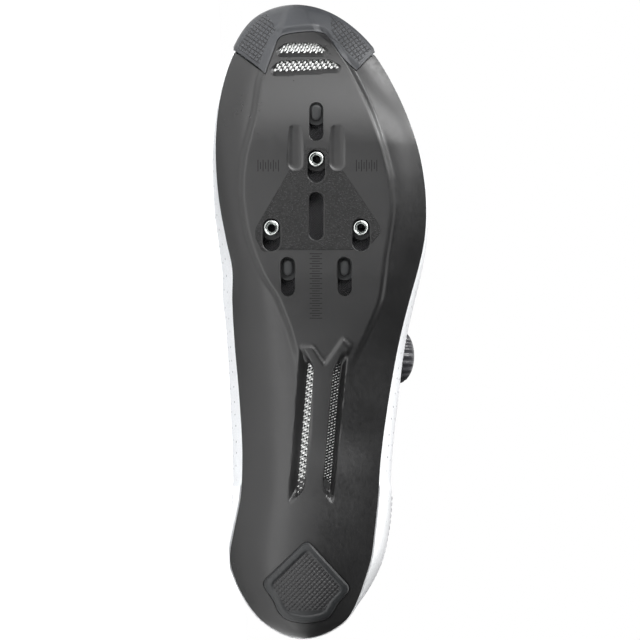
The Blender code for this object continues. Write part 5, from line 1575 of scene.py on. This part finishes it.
@dataclass
class Tongue:
    """Padded tongue under the eyestays, quilted, with a bound edge."""

    thick: float = 0.0036
    over: float = 0.0220
    start: float = 0.485
    end: float = 0.950
    nose: float = 0.0065
    rows: int = 90
    across: int = 72

    def face(self, lift: float) -> np.ndarray:
        """The tongue's upper face moved outwards: hoops to the toe end, then a lip above the first hoop."""
        hoops = np.linspace(turn_of(self.start), turn_of(self.end), self.rows)
        across = np.concatenate([np.linspace(0, 1, 15), np.linspace(1, 2, self.across - 28)[1:-1],
                                 np.linspace(2, 3, 15)])
        body = hoop(hoops[:, None], across[None, :], lift, TONGUE_FOOT)
        ahead = unit(rib(math.pi, TONGUE_FOOT) - rib(math.pi, 1.0))
        sink = self.nose * ahead - 4 * CLEARANCE * rib_normal(math.pi, TONGUE_FOOT)
        body = np.concatenate([body, body[-1] + np.linspace(0, 1, 9)[1:, None, None] * sink])
        first = body[0]
        middle = first[len(across) // 2]
        climb = unit(first.mean(axis=0) - body[int(self.rows * 0.18)].mean(axis=0))
        climb = unit(climb + np.array([0.15, 0.0, 0.35]))
        share = np.linspace(1, 0, 28)[:-1]
        narrow = hermite(np.array([0, 0.30, 0.65, 1.0]), np.array([1.0, 0.80, 0.70, 0.56]), share)
        arc = 1 - 0.16 * np.abs(np.linspace(-1, 1, len(across))) ** 2.5
        scale = np.stack([np.ones_like(narrow), narrow, narrow], axis=-1)
        lip = middle + (first - middle)[None] * scale[:, None]
        lip = lip + climb * self.over * share[:, None, None] * arc[None, :, None]
        return np.concatenate([lip, body])

    def build(self) -> None:
        """Makes the padded tongue and the tape round its lip."""
        lift = -(WALL + 3 * CLEARANCE)
        top = self.face(lift)
        low, side = unit(np.gradient(top, axis=0)), unit(np.gradient(top, axis=1))
        normal = unit(np.cross(low, side))
        normal *= np.sign(normal[len(top) // 2, top.shape[1] // 2, 2])
        run, wide = run_along(top[:, self.across // 2]), run_along(top[40])
        edge = np.linspace(-1, 1, top.shape[1])
        crown_share = np.clip(1 - np.abs(edge) ** 6, 0, 1) ** 0.5
        channels = 0.72 + 0.28 * np.abs(np.sin(math.pi * run / 0.0115)) ** 0.5
        ends = np.sqrt(np.clip(run / 0.006, 0, 1)) * np.sqrt(np.clip((run[-1] - run) / 0.006, 0, 1))
        puff = (ends * channels)[:, None] * crown_share[None, :]
        bottom = top - normal * (0.0009 + (self.thick - 0.0009) * puff[..., None])
        top = top + normal * (-0.0004 + 0.0004 * puff[..., None])
        uv = np.stack(np.meshgrid(wide, run), axis=-1)
        work = Patchwork(TONGUE, LINING)
        work.grid(top, uv)
        work.grid(bottom, uv, 1)
        work.hem(top, bottom)
        tongue = work.make("tongue_pad", 70, merge=2e-6)
        dressed(tongue, "tongue_cloth", "tongue")
        rim = np.concatenate([top[26:0:-1, 0], top[0], top[1:27, -1]])
        out = np.concatenate([normal[26:0:-1, 0], normal[0], normal[1:27, -1]])
        tape = Patchwork(BINDING)
        tube(tape, smooth_line(rim - 0.0004 * out, 200), 0.0011, smooth_line(out, 200), 10, flat=0.8)
        dressed(tape.make("tongue_binding"), "tongue_cloth")


@dataclass
class Insole:
    """Cloth-covered foam bed inside the rim, with a soft rounded border."""

    thick: float = 0.0032
    stations: int = 160
    across: int = 40

    def build(self) -> None:
        """Makes the insole as a closed pad that lies on the sole's bed."""
        turns = np.linspace(0, math.pi, self.stations + 1)
        edge = np.linspace(-1, 1, self.across + 1)
        plan = between_rims(turns, RIM_WIDTH + CLEARANCE, self.across + 1)
        base = bed_height(plan[..., 0], plan[..., 1]) + 2 * CLEARANCE
        full = np.clip(1 - np.abs(edge) ** 12, 0, 1)[None, :] ** 0.5
        width = np.linalg.norm(plan[:, -1] - plan[:, 0], axis=1)[:, None]
        full = full * np.sqrt(np.clip(width / 0.02, 0, 1))
        top = base + 0.0006 + (self.thick - 0.0006) * full
        work = Patchwork(INSOLE)
        lower = np.concatenate([plan, base[..., None]], axis=-1)
        upper = np.concatenate([plan, top[..., None]], axis=-1)
        work.grid(lower)
        work.grid(upper)
        work.hem(lower, upper)
        pad = work.make("insole_pad", 60)
        dressed(pad, "insole_cloth", "insole")


@dataclass
class Closure:
    """Lace guides, the lace and the dial that winds it."""

    lace_radius: float = 0.00065
    dip: float = 0.0022
    post: float = 0.0030
    cap: float = 0.0046
    base: float = 0.0056
    groove: float = 0.0024
    plate: float = 0.0008
    guide_up: float = 0.885
    inner_guides: tuple[float, ...] = (0.520, 0.640, 0.780)
    outer_guides: tuple[float, ...] = (0.600, 0.720, 0.850)
    dial_rib: float = 0.470
    dial_up: float = 0.770
    dial_radius: float = 0.0140
    dial_height: float = 0.0080
    dial_base_radius: float = 0.0160
    dial_base: float = 0.0030
    dial_ribs: int = 24

    def places(self) -> list[tuple[str, float, float]]:
        """Name, turn and height up the rib of each guide, in the order the lace meets them."""
        out = []
        for i, (inner, outer) in enumerate(zip(self.inner_guides, self.outer_guides)):
            out.append((f"lace_guide_inner_{i + 1}", 2 * math.pi - float(turn_of(inner)), self.guide_up))
            out.append((f"lace_guide_outer_{i + 1}", float(turn_of(outer)), self.guide_up))
        return out

    def make_guides(self) -> None:
        """Turned posts on base plates, each with a rounded cap and a groove for the lace."""
        low = self.plate + 0.0004
        top = low + self.groove
        profile = [
            (0.0, top + self.plate - 0.00025), (0.0012, top + self.plate - 0.0002),
            (0.0018, top + self.plate),
            (self.cap - 0.0008, top + self.plate), (self.cap - 0.0002, top + self.plate - 0.00015),
            (self.cap, top + self.plate - 0.0004), (self.cap, top + 0.0001), (self.cap - 0.0002, top),
            (self.post + 0.0004, top), (self.post, top - 0.0003), (self.post, low + 0.0003),
            (self.post + 0.0004, low), (self.base - 0.0006, self.plate),
            (self.base - 0.0001, self.plate - 0.0003),
            (self.base, self.plate - 0.0006), (self.base, -0.0009), (0.0, -0.0009),
        ]
        for name, turn, up in self.places():
            work = Patchwork(GUIDE)
            turned(work, profile, 40, seat(turn, up, OVERLAY + CLEARANCE))
            dressed(work.make(f"{name}_post", 35), "guide_plastic", name)

    def lace_route(self) -> np.ndarray:
        """The lace from the dial, round each guide's outboard side from heel to toe, to the last guide."""
        height = OVERLAY + CLEARANCE + self.plate + 0.0004 + self.groove / 2
        bend = self.post + self.lace_radius + 1.3 * CLEARANCE
        turn, place = seat(float(turn_of(self.dial_rib)), self.dial_up, OVERLAY)
        points = [(place + turn @ (self.post, -(self.dial_base_radius + 2 * CLEARANCE),
                                   self.dial_base - 2 * CLEARANCE))[None]]
        places = self.places()
        for name, way, up in places:
            axes, centre = seat(way, up, height)
            side = -1 if way > math.pi else 1
            last = name == places[-1][0]
            angle = np.radians(np.linspace(-78, 26 if last else 78, 5 if last else 7))
            arc = np.stack([bend * np.sin(angle), side * bend * np.cos(angle), np.zeros_like(angle)], axis=-1)
            arc = arc @ axes.T + centre
            points += [self.taut(points[-1][-1], arc[0], height), arc]
        return np.concatenate(points)

    def taut(self, start: np.ndarray, end: np.ndarray, height: float) -> np.ndarray:
        """Points between two guides: straight seen from above, and as high as the grooves need."""
        hoops = np.linspace(float(turn_of(0.43)), math.pi - 0.02, 120)
        cloud = hoop(hoops[:, None], np.linspace(0.6, 2.4, 121)[None], height).reshape(-1, 3)
        t = np.linspace(0, 1, 10)[1:-1]
        place = start + t[:, None] * (end - start)
        near = np.argsort(np.hypot(*(cloud[None, :, :2] - place[:, None, :2]).transpose(2, 0, 1)), axis=1)[:,
                                                                                                           :6]
        dip = self.dip * np.clip((np.minimum(t, 1 - t) - 0.15) / 0.2, 0, 1)
        place[:, 2] = np.maximum(place[:, 2], cloud[near, 2].mean(axis=1) - dip)
        return place

    def make_lace(self) -> None:
        """The coated lace as one long tube."""
        path = smooth_line(self.lace_route(), 900)
        out = unit(path - np.array([0.0, 0.0, 0.02]) - path * (1, 0, 0))
        work = Patchwork(CORD)
        tube(work, path, self.lace_radius, out, 10)
        lace = work.make("lace_cord")
        dressed(lace, "lace_cord", "lace")

    def make_dial(self) -> None:
        """The dial: a base with a lace throat, and a knob whose wall has rounded ribs and a grip ring."""
        place = seat(float(turn_of(self.dial_rib)), self.dial_up, OVERLAY)
        work = Patchwork(DIAL)
        base, radius = self.dial_base, self.dial_base_radius
        turned(work,
               [(0.0, base), (radius - 0.0016, base), (radius - 0.0009, base - 0.0002),
                (radius - 0.0002, base - 0.0010),
                      (radius, base - 0.0018), (radius, -0.0018), (radius - 0.001, -0.0022), (0.0, -0.0022)],
                      64, place)
        dressed(work.make("dial_seat", 35), "dial_plastic", "dial_base")
        low, high = base + CLEARANCE, base + self.dial_height
        profile = np.array([
            (0.0, low, 0), (0.90, low, 0), (0.965, low + 0.0003, 0.4), (0.99, low + 0.0012, 1),
            (0.985, low + 0.0030, 1),
            (0.965, low + 0.0050, 1), (0.945, high - 0.0016, 1), (0.915, high - 0.0005, 0.5),
            (0.875, high, 0),
            (0.74, high, 0), (0.71, high - 0.0007, 0), (0.60, high - 0.0008, 0), (0.58, high - 0.0003, 0),
            (0.0, high - 0.0001, 0),
        ])
        angle = np.linspace(0, 2 * math.pi, 8 * self.dial_ribs + 1)[:, None]
        ribs = 1 - 0.022 * profile[:, 2] * (1 - np.cos(self.dial_ribs * angle))
        radius = self.dial_radius * profile[:, 0] * ribs
        ring = np.stack([radius * np.cos(angle), radius * np.sin(angle),
                         np.broadcast_to(profile[:, 1], radius.shape)], -1)
        work = Patchwork(DIAL)
        work.grid(ring @ place[0].T + place[1])
        dressed(work.make("dial_grip", 50), "dial_plastic", "dial_knob")

    def build(self) -> None:
        """Makes the closure's pieces."""
        self.make_guides()
        self.make_lace()
        self.make_dial()


@dataclass
class Studio:
    """Pale floor, soft lights and the camera that looks straight at the sole with the toe up."""

    distance: float = 1.75
    view_width: float = 0.2955
    aim: tuple[float, float, float] = (0.1482, 0.0028, 0.0)
    ambient: float = 0.05

    def floor(self) -> None:
        """A wide pale floor that the shoe lies on, which glows as painted light: strongly far in front and
        behind the shoe, weakly within 25 cm in front of it, and more again from 6.5 cm in front of it
        onwards, which fills its shadow and lights its inner side.
        """
        half = 4.0
        line = np.linspace(-half, half, 9)
        x, y = np.meshgrid(line, line)
        mesh = bpy.data.meshes.new("floor")
        index = np.arange(81).reshape(9, 9)
        quads = np.stack([index[:-1, :-1], index[:-1, 1:], index[1:, 1:], index[1:, :-1]],
                         axis=-1).reshape(-1, 4)
        mesh.from_pydata(np.stack([x, y, np.zeros_like(x)], axis=-1).reshape(-1, 3).tolist(), [],
                         quads.tolist())
        nodes = Nodes("pale_floor_painted_glow")
        own = nodes.add("TexCoord").outputs["Object"]
        tone = nodes.blend(nodes.noise(own, 0.4, 2), (0.90, 0.90, 0.90, 1), (0.93, 0.93, 0.93, 1))
        nodes.set(nodes.shader, "Base Color", tone)
        parts = nodes.add("SeparateXYZ", None, Vector=own)
        nodes.set(nodes.shader, "Emission Color", (1, 1, 1, 1))
        # painted light: emission in bands across the floor; the band from just in front of the shoe fills its
        # shadow and lights it from the floor
        front = nodes.span(parts.outputs["Y"], -0.9, -0.25, 0.70, 0.12)
        under = nodes.span(parts.outputs["Y"], -0.105, -0.065, 0.0, 0.36)
        behind = nodes.span(parts.outputs["Y"], 0.07, 0.20, 0.0, 0.50)
        glow = nodes.math("ADD", nodes.math("ADD", front, under), behind)
        nodes.set(nodes.shader, "Emission Strength", glow)
        nodes.set(nodes.shader, "Roughness", 0.9)
        mesh.materials.append(nodes.material)
        floor = placed("floor", mesh)

    def light(self, name: str, place: Sequence[float], size: tuple[float, float], power: float,
              aim: Sequence[float]) -> None:
        """A rectangular soft light, placed in the lying shoe's frame.

        Args:
            name: the light's name.
            place: where it stands, in metres.
            size: its width and height.
            power: watts.
            aim: the point that it faces.
        """
        data = bpy.data.lights.new(name, "AREA")
        data.shape, data.size, data.size_y, data.energy = "RECTANGLE", *size, power
        lamp = placed(name, data)
        lamp.location = place
        lamp.rotation_euler = (Vector(aim) - lamp.location).to_track_quat("-Z", "Y").to_euler()
        lamp.visible_camera = False

    def camera(self) -> None:
        """Camera on the sole's outward normal, rolled so that the toe is up and the outer side right."""
        data = bpy.data.cameras.new("camera")
        data.sensor_width, data.lens = 36.0, 36.0 * self.distance / self.view_width
        camera = placed("camera", data)
        toe, outer, up = TURN.T
        turn = Matrix([list(row) for row in np.stack([outer, toe, -up], axis=1)]).to_4x4()
        camera.matrix_world = Matrix.Translation(laid(np.array(self.aim)) - self.distance * up) @ turn
        bpy.context.scene.camera = camera

    def build(self) -> None:
        """Sets the stage."""
        self.floor()
        self.camera()
        self.light("key", (-0.78, -1.10, 0.70), (0.60, 1.30), 22, (-0.10, -0.05, 0.05))
        self.light("toe", (-1.21, -0.32, 0.95), (0.45, 0.40), 8, (0.0, -0.05, 0.045))
        self.light("side", (-0.72, -0.27, 1.39), (0.50, 0.40), 12, (0.0, -0.05, 0.045))
        self.light("low", (0.02, -0.100, 0.004), (0.60, 0.06), 0.16, (0.02, -0.0999, 1.0))
        self.light("top", (0.0, 1.1, 2.0), (2.5, 2.0), 30, (0.0, 0.0, 0.0))
        world = bpy.data.worlds.new("studio")
        world.use_nodes = True
        tree = world.node_tree
        shade = tree.nodes["Background"]
        shade.inputs["Color"].default_value = (1, 1, 1, 1)
        seen = tree.nodes.new("ShaderNodeLightPath").outputs["Is Camera Ray"]
        mix = tree.nodes.new("ShaderNodeMapRange")
        mix.inputs["To Min"].default_value, mix.inputs["To Max"].default_value = self.ambient, 1.0
        tree.links.new(seen, mix.inputs["Value"])
        tree.links.new(mix.outputs["Result"], shade.inputs["Strength"])
        bpy.context.scene.world = world
        bpy.context.scene.view_settings.view_transform = "Standard"


def main() -> None:
    """Builds the stage and every piece of the shoe."""
    logging.basicConfig(level=logging.INFO, format="%(name)s: %(message)s")
    Studio().build()
    sole = Outsole()
    sole.build()
    Bumper().build()
    HeelPad().build()
    CleatHardware().build(sole)
    Upper().build()
    Tongue().build()
    Insole().build()
    Closure().build()


if __name__ == "__main__":
    main()
